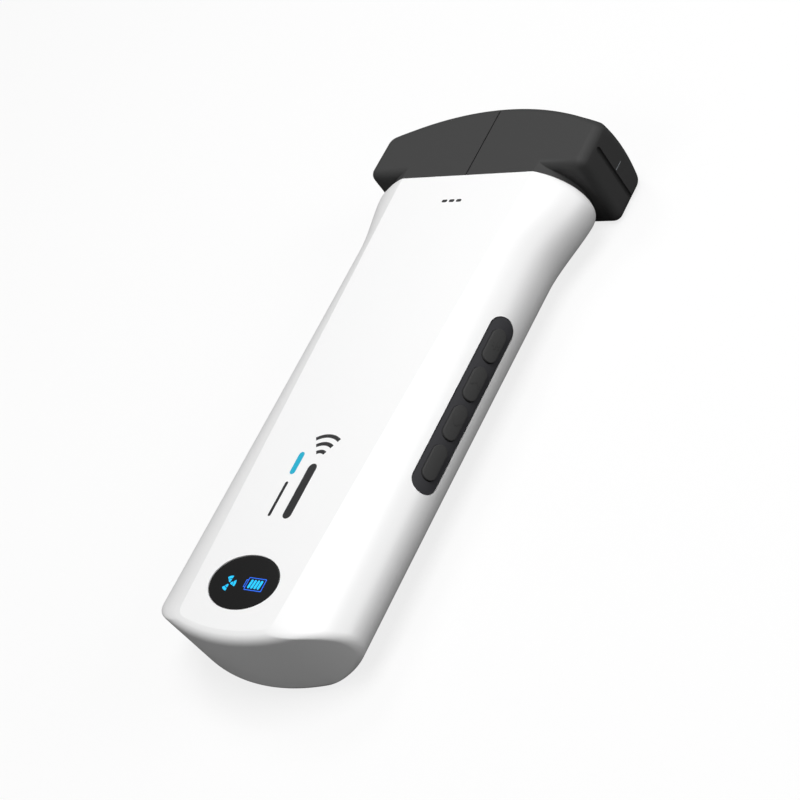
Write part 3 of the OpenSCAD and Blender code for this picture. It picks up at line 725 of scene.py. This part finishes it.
def finishes():
    """What makes each material, by the name of its finish."""
    hue = bpy.context.scene.scanner_colours
    white, black, pad = tuple(hue.white), tuple(hue.black), tuple(hue.pad)
    window = tuple(hue.window)
    lift = [min(1.0, 2.4 * c) for c in black]
    return {
        "white_shell": lambda n: moulded(n, white, [0.96 * c for c in white], (0.30, 0.36), 1400.0,
                                         0.8e-6, edge_wear_and_highlight=0.05, coat=0.35, coat_rough=0.12),
        "black_shell": lambda n: moulded(n, black, lift, (0.52, 0.64), 2300.0, 24e-6, edge_wear_and_highlight=0.2,
                                         specular=0.28),
        "keypad_rubber": lambda n: moulded(n, pad, [1.6 * c for c in pad], (0.52, 0.62), 3000.0,
                                           4e-6, edge_wear_and_highlight=0.2, specular=0.12),
        # Keys and their signs: the second colour, 1.8 times the pad, laid on convex edges at amount 0.5,
        # is partly wear and partly a painted highlight along the edges.
        "key_rubber": lambda n: moulded(n, pad, [1.8 * c for c in pad], (0.42, 0.52), 3000.0,
                                        3e-6, edge_wear_and_highlight=0.5, specular=0.16),
        "seal_rubber": lambda n: moulded(n, (0.03, 0.03, 0.03), (0.05, 0.05, 0.05), (0.6, 0.7),
                                         1500.0, 5e-6),
        "lens_rubber": lambda n: moulded(n, (0.085, 0.09, 0.10), (0.10, 0.105, 0.115), (0.34, 0.46),
                                         1800.0, 2e-6, edge_wear_and_highlight=0.05, patches=90.0),
        "window_black": lambda n: moulded(n, window, [1.2 * c for c in window], (0.05, 0.12), 500.0,
                                          0.2e-6, edge_wear_and_highlight=0.0, specular=0.08),
        "white_caps": lambda n: moulded(n, (0.7, 0.7, 0.69), (0.62, 0.62, 0.61), (0.5, 0.6),
                                        2200.0, 5e-6),
        "matching_epoxy": lambda n: moulded(n, (0.5, 0.33, 0.08), (0.56, 0.4, 0.14), (0.2, 0.35),
                                            600.0, 2e-6, coat=0.3),
        "piezo": lambda n: moulded(n, (0.56, 0.5, 0.33), (0.66, 0.62, 0.46), (0.4, 0.55), 1900.0,
                                   2e-6),
        "backing": lambda n: moulded(n, (0.04, 0.04, 0.05), (0.09, 0.09, 0.1), (0.6, 0.75), 1100.0,
                                     9e-6),
        "inner_plastic": lambda n: moulded(n, (0.11, 0.12, 0.13), (0.15, 0.16, 0.17), (0.5, 0.62),
                                           1600.0, 6e-6),
        "flex_film": lambda n: moulded(n, (0.45, 0.2, 0.02), (0.55, 0.3, 0.06), (0.22, 0.36),
                                       700.0, 1e-6, coat=0.5),
        "connector_plastic": lambda n: moulded(n, (0.6, 0.56, 0.44), (0.66, 0.62, 0.5), (0.4, 0.5),
                                               2000.0, 3e-6),
        "circuit_board": lambda n: board_finish(n, (0.01, 0.11, 0.045), (0.05, 0.26, 0.1)),
        "chip_black": lambda n: moulded(n, (0.02, 0.02, 0.02), (0.04, 0.04, 0.04), (0.5, 0.65),
                                        3200.0, 5e-6),
        "antenna_ceramic": lambda n: moulded(n, (0.5, 0.24, 0.12), (0.58, 0.32, 0.18), (0.35, 0.5),
                                             1500.0, 3e-6),
        "battery_wrap": lambda n: moulded(n, (0.06, 0.1, 0.2), (0.1, 0.15, 0.26), (0.25, 0.4),
                                          300.0, 8e-6, coat=0.4),
        "lead_red": lambda n: moulded(n, (0.42, 0.02, 0.02), (0.5, 0.05, 0.04), (0.4, 0.5),
                                      1400.0, 3e-6),
        "ferrite": lambda n: moulded(n, (0.035, 0.035, 0.04), (0.07, 0.07, 0.075), (0.45, 0.7),
                                     900.0, 5e-6),
        "display_panel": lambda n: moulded(n, (0.02, 0.022, 0.03), (0.03, 0.034, 0.045),
                                           (0.15, 0.25), 1200.0, 1e-6, coat=0.6),
        "plunger_nylon": lambda n: moulded(n, (0.6, 0.56, 0.45), (0.68, 0.64, 0.54), (0.45, 0.55),
                                           1800.0, 3e-6),
        "steel": lambda n: metal(n, (0.42, 0.42, 0.44), (0.62, 0.62, 0.64), (0.28, 0.42)),
        "brass": lambda n: metal(n, (0.55, 0.38, 0.12), (0.75, 0.55, 0.22), (0.25, 0.4)),
        "aluminium": lambda n: metal(n, (0.58, 0.58, 0.6), (0.75, 0.75, 0.77), (0.3, 0.45)),
        "copper": lambda n: metal(n, (0.5, 0.2, 0.09), (0.72, 0.34, 0.17), (0.25, 0.4), 1400.0),
        "cyan_light": lambda n: light_finish(n, tuple(hue.cyan), 1.1),
        "blue_light": lambda n: light_finish(n, tuple(hue.blue), 1.0),
        "dark_print": lambda n: moulded(n, tuple(hue.print_dark), [2 * c for c in hue.print_dark],
                                        (0.4, 0.5), 3000.0, 2e-6, edge_wear_and_highlight=0.0),
        "cyan_print": lambda n: moulded(n, tuple(hue.print_cyan), [0.9 * c for c in hue.print_cyan],
                                        (0.4, 0.5), 3000.0, 2e-6, edge_wear_and_highlight=0.0),
    }


def finish(slot):
    """The material of a finish, made once."""
    return bpy.data.materials.get(slot) or finishes()[slot](slot)


# ---- Operators -----------------------------------------------------------------------


class SCANNER_OT_grip(Operator):
    """Build the white grip with its window seat, keypad slot and rear opening"""

    bl_idname = "scanner.grip"
    bl_label = "Grip Shell"

    def execute(self, context):
        grip, pad = context.scene.scanner_grip, context.scene.scanner_pad
        outer = grip_skin(0.0, Y_JOINT, True)
        shell = piece("grip_shell", outer, skin_faces(*outer.shape[:2]))
        y_socket = Y_JOINT - grip.socket_len
        inner = grip_skin(grip.wall, y_socket + 0.05 * MM, False, levels=14, bow=24)
        waist_top = waist_half(np.array([Y_JOINT]), grip)[0] - grip.wall - SOCKET_SKIN
        inset = grip_half(np.array([Y_JOINT]), grip)[0] - waist_top
        recess = COVER_LO.z - MM, 1.4 * MM
        wide, high = (WINDOW_HI - WINDOW_LO)[:2]
        cuts = [
            piece("inner_cut", inner, skin_faces(*inner.shape[:2])),
            neck_prism("socket_cut", inset, y_socket, Y_JOINT + MM),
            loft("cover_cut", raised(cover_outline(-COVER_GAP, -COVER_GAP, MM), *recess)),
            loft("opening_cut", raised(cover_outline(LEDGE_END, LEDGE_SIDE, 2 * MM), -MM,
                                       grip.wall + MM)),
            loft("window_cut", raised(oval(wide / 2 + 0.06 * MM, high / 2 + 0.06 * MM),
                                      THICK - 1.1 * MM, THICK + MM)),
            loft("view_cut", raised(oval(wide / 2 - 1.4 * MM, high / 2 - 1.4 * MM),
                                    THICK - grip.wall - MM, THICK)),
            pad_prism("pad_cut", pad.pad_len, pad.pad_w, 3 * MM, 11 * MM),
        ]
        for n, (x, y) in enumerate(screw_places()):
            if y > Y_JOINT - SHELF:
                cuts.append(rod(f"screw_cut_{n}", x, y, SCREW_HEAD_R, -MM, SCREW_HEAD_DEEP))
        apply_cuts(shell, [("DIFFERENCE", c) for c in cuts])
        settle(shell, finish("white_shell"), replaces=["casing"])
        return {"FINISHED"}


class SCANNER_OT_rear_cover(Operator):
    """Build the rear cover with its rounded rim, locating plug and screw holes"""

    bl_idname = "scanner.rear_cover"
    bl_label = "Rear Cover"

    def execute(self, context):
        rim, flange = 0.35 * MM, MM
        a = np.linspace(0, math.pi / 2, 7)
        plug = LEDGE_END + COVER_GAP, LEDGE_SIDE + COVER_GAP
        steps = [(rim * (1 - math.sin(t)), rim * (1 - math.sin(t)), rim * (1 - math.cos(t)))
                 for t in a]
        steps += [(0.0, 0.0, flange), (*plug, flange), (*plug, COVER_HI.z)]
        rings = []
        for end, side, z in steps:
            outline = cover_outline(end, side, 2 * MM)
            rings.append(np.hstack([outline, np.full((len(outline), 1), z)]))
        cover = loft("rear_cover_shell", rings)
        cuts = []
        for n, (x, y) in enumerate(screw_places()):
            if y < Y_JOINT - SHELF:
                boss = rod(f"boss_{n}", x, y, 2.4 * MM, 0.5 * MM, 1.4 * MM)
                seat = rod(f"head_cut_{n}", x, y, SCREW_HEAD_R, -MM, SCREW_HEAD_DEEP)
                shank = rod(f"shank_cut_{n}", x, y, SHANK_R, 0, 3 * MM)
                cuts += [("UNION", boss), ("DIFFERENCE", seat), ("DIFFERENCE", shank)]
        apply_cuts(cover, cuts)
        settle(cover, finish("white_shell"), replaces=["rear_cover"])
        return {"FINISHED"}


def head_outline(inset):
    """Plan outline of the head with the inward normal of each point. From the wing
    underside: foot arc, straight end, rim corner, arc of the rim, and mirrored back."""
    head = bpy.context.scene.scanner_head
    w = HEAD_HALF - inset
    c = max(head.corner - inset, 0.8 * MM)
    f = max(head.foot - inset, 0.4 * MM)
    r = head.head_r - inset
    y_arc = Y_CROWN - head.head_r
    y_foot = Y_CROWN - head.wing_len + inset + f
    cy = y_arc + math.sqrt((r - c) ** 2 - (w - c) ** 2)
    top = math.atan2(cy - y_arc, w - c)

    def arc(x, y, radius, a):
        return np.stack([x + radius * np.cos(a), y + radius * np.sin(a), np.cos(a), np.sin(a)], -1)

    foot = arc(w - f, y_foot, f, np.linspace(-math.pi / 2, 0, 9))
    end = np.stack([np.full(12, w), np.linspace(y_foot, cy, 14)[1:-1], np.ones(12), np.zeros(12)], -1)
    corner = arc(w - c, cy, c, np.linspace(0, top, 13))
    rim = arc(0, y_arc, r, np.linspace(top, math.pi / 2, 44)[1:])
    right = np.concatenate([foot, end, corner, rim])
    return np.concatenate([right, right[-2::-1] * np.array([-1.0, 1.0, -1.0, 1.0])])


def head_block(name, inset, fillet, half, n=10, bulge=0.0):
    """Block over the head's outline. Front and back edges are quarter rounds: the outline
    moves in by fillet (1 - sin a) where the height is half - fillet (1 - cos a). The rim's
    two corners swell towards the front of the head by bulge (1 - (z / half)^2)."""
    outline = head_outline(inset)
    a = np.linspace(0, math.pi / 2, n)
    into = fillet * (1 - np.sin(a))
    up = -half + fillet * (1 - np.cos(a))
    middle = np.linspace(up[-1], -up[-1], 12)[1:-1]
    into = np.concatenate([into, np.zeros(10), into[::-1]])
    up = np.concatenate([up, middle, -up[::-1]])
    x = outline[:, 0] - into[:, None] * outline[:, 2]
    y = outline[:, 1] - into[:, None] * outline[:, 3]
    if bulge:
        share = np.clip((np.abs(outline[:, 0]) - SWELL_FROM) / SWELL_OVER, 0, 1)
        rise = np.clip((outline[:, 1] - outline[0, 1]) / SWELL_RISE, 0, 1)
        weight = share ** 2 * (3 - 2 * share) * rise ** 2 * (3 - 2 * rise)
        y = y + bulge * weight * (1 - (up[:, None] / half) ** 2)
    z = np.broadcast_to(HALF_T + up[:, None], x.shape)
    return loft(name, np.stack([x, y, z], -1))


def rim_band(name, r0, r1, half_angle, t, n=90):
    """Band of an annulus about the centre of the head's rim, t thick across the middle."""
    head = bpy.context.scene.scanner_head
    y_arc = Y_CROWN - head.head_r
    a = np.linspace(-half_angle, half_angle, n)
    r = np.array([r0, r1, r1, r0])
    z = np.array([-t / 2, -t / 2, t / 2, t / 2]) + HALF_T
    rings = np.stack([np.sin(a)[:, None] * r, y_arc + np.cos(a)[:, None] * r,
                      np.broadcast_to(z, (n, 4))], -1)
    return loft(name, rings)


class SCANNER_OT_head(Operator):
    """Build the black scan head with its wings, grooves and engraved centre line"""

    bl_idname = "scanner.head"
    bl_label = "Scan Head"

    def execute(self, context):
        grip, head = context.scene.scanner_grip, context.scene.scanner_head
        y_wing = Y_CROWN - head.wing_len
        waist_top = waist_half(np.array([Y_JOINT]), grip)[0] - grip.wall - SOCKET_SKIN
        socket = grip_half(np.array([Y_JOINT]), grip)[0] - waist_top + SPIGOT_GAP
        lens_t = LENS_HI.z - LENS_LO.z + 0.24 * MM
        y_groove = y_wing + head.groove_up
        shell = head_block("scan_head_shell", 0.0, head.fillet, HALF_T, bulge=head.bulge)
        line = head.line_w / 2
        line_box = np.array([[-line, Y_JOINT - MM], [line, Y_JOINT - MM],
                             [line, Y_CROWN + MM], [-line, Y_CROWN + MM]])
        cuts = [
            ("UNION", neck_prism("neck", 0.0, Y_JOINT, y_wing + 3 * MM)),
            ("UNION", neck_prism("spigot", socket, HEAD_LO.y, Y_JOINT + MM)),
            ("DIFFERENCE", neck_prism("neck_cut", socket + 1.6 * MM, HEAD_LO.y - MM,
                                      y_wing + 3.2 * MM)),
            ("DIFFERENCE", head_block("hollow_cut", 2.6 * MM, 0.2 * MM, lens_t / 2 + MM, 3)),
            ("DIFFERENCE", rim_band("lens_cut", head.head_r - 8 * MM, head.head_r + 4 * MM,
                                    head.lens_half + math.radians(0.2), lens_t)),
            ("DIFFERENCE", loft("front_line", raised(line_box, THICK - LINE_DEEP, THICK + MM))),
            ("DIFFERENCE", loft("back_line", raised(line_box, -MM, LINE_DEEP))),
        ]
        for side in (-1, 1):
            x = side * HEAD_HALF
            cuts.append(("DIFFERENCE", rod(f"groove{side}", x, y_groove, head.groove_r, -MM,
                                           HEAD_HI.z - 2.6 * MM, dome=head.groove_r)))
        for n, (x, y) in enumerate(screw_places()):
            if y > Y_JOINT - SHELF:
                cuts.append(("DIFFERENCE", rod(f"bore{n}", x, y, BORE_R, 0, HALF_T - 4.4 * MM)))
        apply_cuts(shell, cuts, 30.0)
        settle(shell, finish("black_shell"), replaces=["head_housing"])
        self.ticks(y_groove)
        return {"FINISHED"}

    def ticks(self, y_groove):
        """Thin moulded tick on each end face, from the groove towards the lens."""
        bars = []
        for side in (-1, 1):
            y0, y1 = y_groove + 1.2 * MM, y_groove + 3.9 * MM
            z0, z1 = HALF_T - 0.87 * MM, HALF_T - 0.7 * MM
            ring = np.array([[y0, z0], [y1, z0], [y1, z1], [y0, z1]])
            x = side * (HEAD_HALF + np.array([-0.3, 0.03]) * MM)
            bars.append([np.stack([np.full(4, q), ring[:, 0], ring[:, 1]], -1) for q in x])
        ticks = lofts("head_ticks", bars)
        settle(ticks, finish("inner_plastic"))


class SCANNER_OT_lens(Operator):
    """Build the crowned rubber lens along the head's rim"""

    bl_idname = "scanner.lens"
    bl_label = "Acoustic Lens"

    def execute(self, context):
        head = context.scene.scanner_head
        y_arc = Y_CROWN - head.head_r
        t = LENS_HI.z - LENS_LO.z
        r_out, r_in = LENS_HI.y - y_arc, head.head_r - head.lens_back
        n, m = 121, 33
        a = np.linspace(-head.lens_half, head.lens_half, n)[:, None]
        s = np.linspace(-1, 1, m)[None, :]
        round_end = np.sqrt(1 - np.clip((np.abs(a) / head.lens_half - 0.965) / 0.035, 0, 0.98) ** 2)
        edge = edge_in(s * t / 2, t / 2, 0.8 * MM)
        fall = head.lens_crown * s ** 2 + edge
        r = r_in + (r_out - fall - r_in) * (0.45 + 0.55 * round_end)
        z = HALF_T + s * t / 2 + 0 * a
        top = np.stack([r * np.sin(a), y_arc + r * np.cos(a), z], -1)
        low = np.stack([r_in * np.sin(a) + 0 * s, y_arc + r_in * np.cos(a) + 0 * s, z], -1)
        rings = np.concatenate([top, low[:, [-1, 0]]], 1)
        lens = loft("lens_crown", rings)
        settle(lens, finish("lens_rubber"), replaces=["acoustic_lens"])
        return {"FINISHED"}


def face_bar(x, y, l, w, z0, z1, lean=0.0, n=10):
    """Rings of a thin bar with round ends on the front face, lying along the length and
    leaning by an angle."""
    along, across = stadium(l, w, n).T
    c, s = math.cos(lean), math.sin(lean)
    outline = np.stack([x + across * c - along * s, y + along * c + across * s], -1)
    return raised(outline, z0, z1)


def fan_blade(x, y, direction, r0, r1, spread, z0, z1, n=10):
    """Rings of a blade that widens from r0 to r1 about a centre."""
    a = np.linspace(-spread, spread, n)
    outer = np.stack([x + r1 * np.cos(direction + a), y + r1 * np.sin(direction + a)], -1)
    inner = np.stack([x + r0 * np.cos(direction - a), y + r0 * np.sin(direction - a)], -1)
    return raised(np.concatenate([outer, inner]), z0, z1)


def arc_strip(x, y, r, w, spread, z0, z1, n=24):
    """Rings of a curved strip of width w at radius r, centred on the length."""
    a = math.pi / 2 + np.linspace(-spread, spread, n)
    outer = np.stack([x + (r + w / 2) * np.cos(a), y + (r + w / 2) * np.sin(a)], -1)
    inner = np.stack([x + (r - w / 2) * np.cos(a), y + (r - w / 2) * np.sin(a)], -1)
    return raised(np.concatenate([outer, inner[::-1]]), z0, z1)


class SCANNER_OT_display(Operator):
    """Build the domed oval window and its lit status symbols"""

    bl_idname = "scanner.display"
    bl_label = "Display Window"

    def execute(self, context):
        wide, high = (WINDOW_HI - WINDOW_LO)[:2]
        a = np.linspace(0, math.pi / 2, 6)
        rim = 0.25 * MM
        steps = [(0.0, WINDOW_LO.z)]
        steps += [(rim * (1 - math.cos(t)), THICK - 0.13 * MM - rim * (1 - math.sin(t))) for t in a]
        shares = np.linspace(0.02, 0.96, 14)
        rings = [np.hstack([oval(wide / 2 - i, high / 2 - i), np.full((120, 1), z)]) for i, z in steps]
        for s in shares:
            z = THICK - 0.13 * MM + 0.12 * MM * (1 - (1 - s) ** 2)
            ring = oval((wide / 2 - rim) * (1 - s), (high / 2 - rim) * (1 - s))
            rings.append(np.hstack([ring, np.full((120, 1), z)]))
        glass = loft("window_glass", rings)
        settle(glass, finish("window_black"), replaces=["display_window"])
        self.symbols()
        return {"FINISHED"}

    def symbols(self):
        """Three-bladed fan on the left and a charge gauge on the right."""
        z0, z1 = THICK - 0.10 * MM, THICK + 0.02 * MM
        fan_x, fan_y = -4.1 * MM, Y_WINDOW - 0.75 * MM
        blades = [fan_blade(fan_x, fan_y, math.radians(d), r0 * MM, r1 * MM, math.radians(25), z0, z1)
                  for d in (108, 6, 243) for r0, r1 in ((0.35, 1.1), (1.3, 1.95))]
        fan = lofts("status_fan", blades)
        settle(fan, finish("cyan_light"))
        x0, x1 = 1.2 * MM, 6.5 * MM
        y0, y1 = Y_WINDOW - 1.75 * MM, Y_WINDOW + 1.35 * MM
        line = 0.17 * MM
        mid, half = (x0 + x1) / 2, (x1 - x0) / 2
        rail = [face_bar(mid, y, 2 * half, line, z0, z1, math.pi / 2) for y in (y0, y1)]
        posts = [face_bar(x, (y0 + y1) / 2, y1 - y0, line, z0, z1) for x in (x0, x1)]
        nub = [face_bar(x0 - 0.55 * MM, (y0 + y1) / 2, 1.9 * MM, line, z0, z1)]
        nub += [face_bar(x0 - 0.3 * MM, (y0 + y1) / 2 + k * 0.9 * MM, 0.7 * MM, line, z0, z1,
                         math.pi / 2) for k in (-1, 1)]
        gauge = lofts("status_gauge", rail + posts + nub)
        settle(gauge, finish("blue_light"))
        bars = [face_bar(x0 + (1.12 + 1.02 * k) * MM, (y0 + y1) / 2, 2.3 * MM, 0.7 * MM, z0, z1,
                         math.radians(-8)) for k in range(4)]
        charge = lofts("status_charge", bars)
        settle(charge, finish("cyan_light"))


def side_button(name, l, w, y, back, flange, r_top, fillet, n=24, rings=9):
    """Bar with round ends whose top follows the rounded side: x = sqrt(r^2 - z^2), less a
    quarter round at the rim. Flange steps come first, as (growth, depth) pairs."""
    across_half = w / 2
    a = np.linspace(0, math.pi / 2, 8)
    insets = np.concatenate([fillet * (1 - np.cos(a)), np.linspace(fillet, across_half * 0.97, rings)[1:]])
    drops = np.concatenate([fillet * (1 - np.sin(a)), np.zeros(rings - 1)])
    stack = []
    for grow, depth in flange:
        along, across = stadium(l + 2 * grow, w + 2 * grow, n).T
        stack.append(np.stack([np.full_like(along, back + depth), along + y, across], -1))
    for inset, drop in zip(insets, drops):
        along, across = stadium(l - 2 * inset, w - 2 * inset, n).T
        crown = np.sqrt(r_top ** 2 - across ** 2)
        stack.append(np.stack([crown - drop, along + y, across], -1))
    return loft(name, turn_pad(stack))


def symbol_on_key(name, y, strokes, r_top):
    """Raised strokes on a key, each given as (along, across, length, width, angle)."""
    stacks = []
    for along, across, l, w, angle in strokes:
        p, q = stadium(l, w, 6).T
        c, s = math.cos(angle), math.sin(angle)
        yy, zz = along + p * c - q * s, across + p * s + q * c
        crown = np.sqrt(r_top ** 2 - zz ** 2)
        stacks.append(turn_pad([np.stack([crown + up, yy + y, zz], -1)
                                for up in (-0.12 * MM, 0.09 * MM)]))
    return lofts(name, stacks)


class SCANNER_OT_keypad(Operator):
    """Build the silicone pad and its four raised keys with embossed symbols"""

    bl_idname = "scanner.keypad"
    bl_label = "Keypad"

    def execute(self, context):
        pad = context.scene.scanner_pad
        fit = 0.12 * MM
        grow = 0.8 * MM + fit
        flange = [(FLANGE_OUT + fit, 0), (FLANGE_OUT + fit, FLANGE_T), (0, FLANGE_T)]
        key_flange = [(KEY_FLANGE_OUT, 0), (KEY_FLANGE_OUT, KEY_FLANGE_T), (0, KEY_FLANGE_T)]
        mat = side_button("pad_rubber", pad.pad_len - 2 * fit, pad.pad_w - 2 * fit, 0.0,
                          FLANGE_BACK, flange,
                          pad.side_r - 0.05 * MM, 0.22 * MM, n=40)
        places = [((len(KEYS) - 1) / 2 - i) * pad.pitch for i in range(len(KEYS))]
        cuts = []
        for i, y in enumerate(places):
            cuts.append(("DIFFERENCE", pad_prism(f"well_{i}", pad.key_len + 2 * KEY_GAP,
                                                 pad.key_w + 2 * KEY_GAP, MM, 11 * MM, y)))
            cuts.append(("DIFFERENCE", pad_prism(f"room_{i}", pad.key_len + grow, pad.key_w + grow,
                                                 MM, 5.35 * MM, y)))
        apply_cuts(mat, cuts)
        settle(mat, finish("keypad_rubber"), replaces=["keypad_mat"])
        strokes = self.strokes()
        r_key = pad.side_r + pad.key_raise
        for i, (node, y) in enumerate(zip(KEYS, places)):
            body = f"button_{i + 1}"
            key = side_button(f"key_cap_{i + 1}", pad.key_len, pad.key_w, y, KEY_BACK,
                              key_flange, r_key, 0.22 * MM)
            settle(key, finish("key_rubber"), body, [node])
            if strokes[i]:
                sign = symbol_on_key(f"key_sign_{i + 1}", y, strokes[i], r_key)
                # The signs share the key finish, whose lighter convex edges are partly wear and partly a
                # painted highlight.
                settle(sign, finish("key_rubber"), body)
        return {"FINISHED"}

    def strokes(self):
        """Generic signs: a star of three bars, two chevrons, and a plain last key."""
        star = [(0, 0, 2.2 * MM, 0.3 * MM, math.radians(d)) for d in (0, 60, 120)]

        def chevron(way):
            return [(0.0, k * 0.62 * MM, 1.9 * MM, 0.34 * MM, -way * k * math.radians(42))
                    for k in (-1, 1)]

        return [star, chevron(1), chevron(-1), []]


class SCANNER_OT_prints(Operator):
    """Build the plain printed marks on the front face"""

    bl_idname = "scanner.prints"
    bl_label = "Printed Marks"

    def execute(self, context):
        z0, z1 = THICK - 0.05 * MM, THICK + 0.015 * MM
        x, y_top = 2.0 * MM, Y_WINDOW + 41.2 * MM
        dark = [arc_strip(x, y_top - 8 * MM, r * MM, 1.0 * MM, math.radians(32), z0, z1)
                for r in (2.6, 4.8, 7.0)]
        dark.append(face_bar(x, y_top - 16.4 * MM, 15.2 * MM, 2.6 * MM, z0, z1))
        dark.append(face_bar(-3.4 * MM, y_top - 19.0 * MM, 9.6 * MM, 0.9 * MM, z0, z1))
        dark += [face_bar(k * 2.3 * MM, 46.8 * MM, 1.7 * MM, 0.9 * MM, z0, z1, math.pi / 2)
                 for k in (-1, 0, 1)]
        marks = lofts("printed_bars", dark)
        settle(marks, finish("dark_print"))
        bar = face_bar(-3.5 * MM, y_top - 9.0 * MM, 6.3 * MM, 1.7 * MM, z0, z1)
        cyan = lofts("printed_cyan_bar", [bar])
        settle(cyan, finish("cyan_print"))
        return {"FINISHED"}


class SCANNER_OT_inside(Operator):
    """Give every carried-over part its own finish"""

    bl_idname = "scanner.inside"
    bl_label = "Inner Parts"

    def execute(self, context):
        slots = {p["node"]: p["material_slot"] for p in frame["record"]["subparts"]}
        for name, node in frame["nodes"].items():
            node.data.materials.clear()
            node.data.materials.append(finish(slots[name]))
        return {"FINISHED"}


CAMERA_AT = (0.30965, -0.19933, 0.28679)
CAMERA_RIGHT = (0.7411, 0.4235, -0.5210)
CAMERA_UP = (-0.0356, 0.7997, 0.5994)
CAMERA_BACK = (0.6705, -0.4257, 0.6077)
CAMERA_LENS = 86.42
WORLD_LIGHT = 0.08
FLOOR_HALF = 2.0           # half side of the square floor
FLOOR_DEEP = 0.02
# name, place, target, size, watts
SOFTBOXES = (
    ("overhead", (0.16, 0.14, 0.80), (0, 0, 0), (0.42, 0.42), 4.4),
    ("rear_left", (-0.40, 0.44, 0.80), (0, 0, 0), (0.3, 0.3), 1.9),
    ("right_wash", (0.85, 0.30, 0.34), (0, 0, 0.01), (0.4, 0.5), 3.1),
    ("end_wash", (-0.15, -0.75, 0.80), (0, 0, 0.01), (0.5, 0.5), 2.0),
)


def softbox(name, at, target, size, watts):
    """Rectangular area light at a place, looking at a target."""
    data = bpy.data.lights.new(name, "AREA")
    data.shape, data.size, data.size_y = "RECTANGLE", *size
    data.energy = watts
    lamp = bpy.data.objects.new(name, data)
    bpy.context.scene.collection.objects.link(lamp)
    way = np.array(target, float) - np.array(at, float)
    from_z = -way / np.linalg.norm(way)
    side = np.cross([0.0, 1.0, 0.0] if abs(from_z[1]) < 0.9 else [1.0, 0.0, 0.0], from_z)
    side /= np.linalg.norm(side)
    up = np.cross(from_z, side)
    back = Matrix([[side[i], up[i], from_z[i]] for i in range(3)])
    lamp.matrix_world = Matrix.Translation(at) @ back.to_4x4()
    return lamp


class SCANNER_OT_stage(Operator):
    """Set the pale floor, the soft lights and the camera"""

    bl_idname = "scanner.stage"
    bl_label = "Studio"

    def execute(self, context):
        scene = context.scene
        scene.view_settings.view_transform = "Standard"
        span = FLOOR_HALF * np.array([[-1, -1], [1, -1], [1, 1], [-1, 1]])
        floor = loft("studio_floor", raised(span, -FLOOR_DEEP, 0.0))
        floor.data.materials.append(self.floor_finish(scene.scanner_colours))
        world = scene.world or bpy.data.worlds.new("studio")
        scene.world = world
        world.use_nodes = True
        world.node_tree.nodes["Background"].inputs["Color"].default_value = (1, 1, 1, 1)
        world.node_tree.nodes["Background"].inputs["Strength"].default_value = WORLD_LIGHT
        for values in SOFTBOXES:
            softbox(*values)
        data = bpy.data.cameras.new("camera")
        data.lens, data.sensor_width = CAMERA_LENS, 36.0
        data.clip_start, data.clip_end = 0.01, 10.0
        camera = bpy.data.objects.new("camera", data)
        scene.collection.objects.link(camera)
        turn = Matrix([CAMERA_RIGHT, CAMERA_UP, CAMERA_BACK]).transposed()
        camera.matrix_world = Matrix.Translation(CAMERA_AT) @ turn.to_4x4()
        scene.camera = camera
        return {"FINISHED"}

    def floor_finish(self, hue):
        """Pale floor with a faint mottle. Seen directly it is lit like white paper on a light
        table, while the light it throws back at the object stays low."""
        mat = moulded("floor_paper", tuple(hue.floor), [0.98 * c for c in hue.floor], (0.85, 0.95),
                      300.0, 5e-6, edge_wear_and_highlight=0.0, specular=0.1)
        tree = mat.node_tree
        shader = tree.nodes["Principled BSDF"]
        leave = tree.nodes["Material Output"]
        path = add(tree, "ShaderNodeLightPath")
        glow = add(tree, "ShaderNodeEmission")
        glow.inputs["Strength"].default_value = 1.0
        dim = add(tree, "ShaderNodeBsdfDiffuse")
        dim.inputs["Color"].default_value = (0.10, 0.10, 0.10, 1)
        seen = add(tree, "ShaderNodeMixShader")
        seen.inputs[0].default_value = 0.8
        whole = add(tree, "ShaderNodeMixShader")
        wire(tree, (shader.outputs[0], seen.inputs[1]), (glow.outputs[0], seen.inputs[2]),
             (path.outputs["Is Camera Ray"], whole.inputs[0]), (dim.outputs[0], whole.inputs[1]),
             (seen.outputs[0], whole.inputs[2]), (whole.outputs[0], leave.inputs["Surface"]))
        return mat


PIECE_OPERATORS = (
    SCANNER_OT_grip,
    SCANNER_OT_rear_cover,
    SCANNER_OT_head,
    SCANNER_OT_lens,
    SCANNER_OT_display,
    SCANNER_OT_keypad,
    SCANNER_OT_prints,
    SCANNER_OT_inside,
    SCANNER_OT_stage,
)


class SCANNER_PT_build(Panel):
    """Lists the scanner's pieces and their sizes in the sidebar"""

    bl_idname = "SCANNER_PT_build"
    bl_label = "Ultrasound Scanner"
    bl_space_type = "VIEW_3D"
    bl_region_type = "UI"
    bl_category = "Scanner"

    def draw(self, context):
        for kind in PIECE_OPERATORS:
            self.layout.operator(kind.bl_idname)
        for name in SETTINGS:
            box = self.layout.box()
            group = getattr(context.scene, name)
            for key in group.__annotations__:
                box.prop(group, key)


SETTINGS = {
    "scanner_grip": ScannerGripSizes,
    "scanner_head": ScannerHeadSizes,
    "scanner_pad": ScannerPadSizes,
    "scanner_colours": ScannerColours,
}
CLASSES = (*SETTINGS.values(), *PIECE_OPERATORS, SCANNER_PT_build)


def register():
    """Registers the classes and hangs the settings on the scene."""
    for kind in CLASSES:
        bpy.utils.register_class(kind)
    for name, kind in SETTINGS.items():
        setattr(bpy.types.Scene, name, PointerProperty(type=kind))


def unregister():
    """Takes the settings and classes away again."""
    for name in SETTINGS:
        delattr(bpy.types.Scene, name)
    for kind in reversed(CLASSES):
        bpy.utils.unregister_class(kind)


def main():
    register()
    for kind in PIECE_OPERATORS:
        group, call = kind.bl_idname.split(".")
        getattr(getattr(bpy.ops, group), call)()


if __name__ == "__main__":
    main()
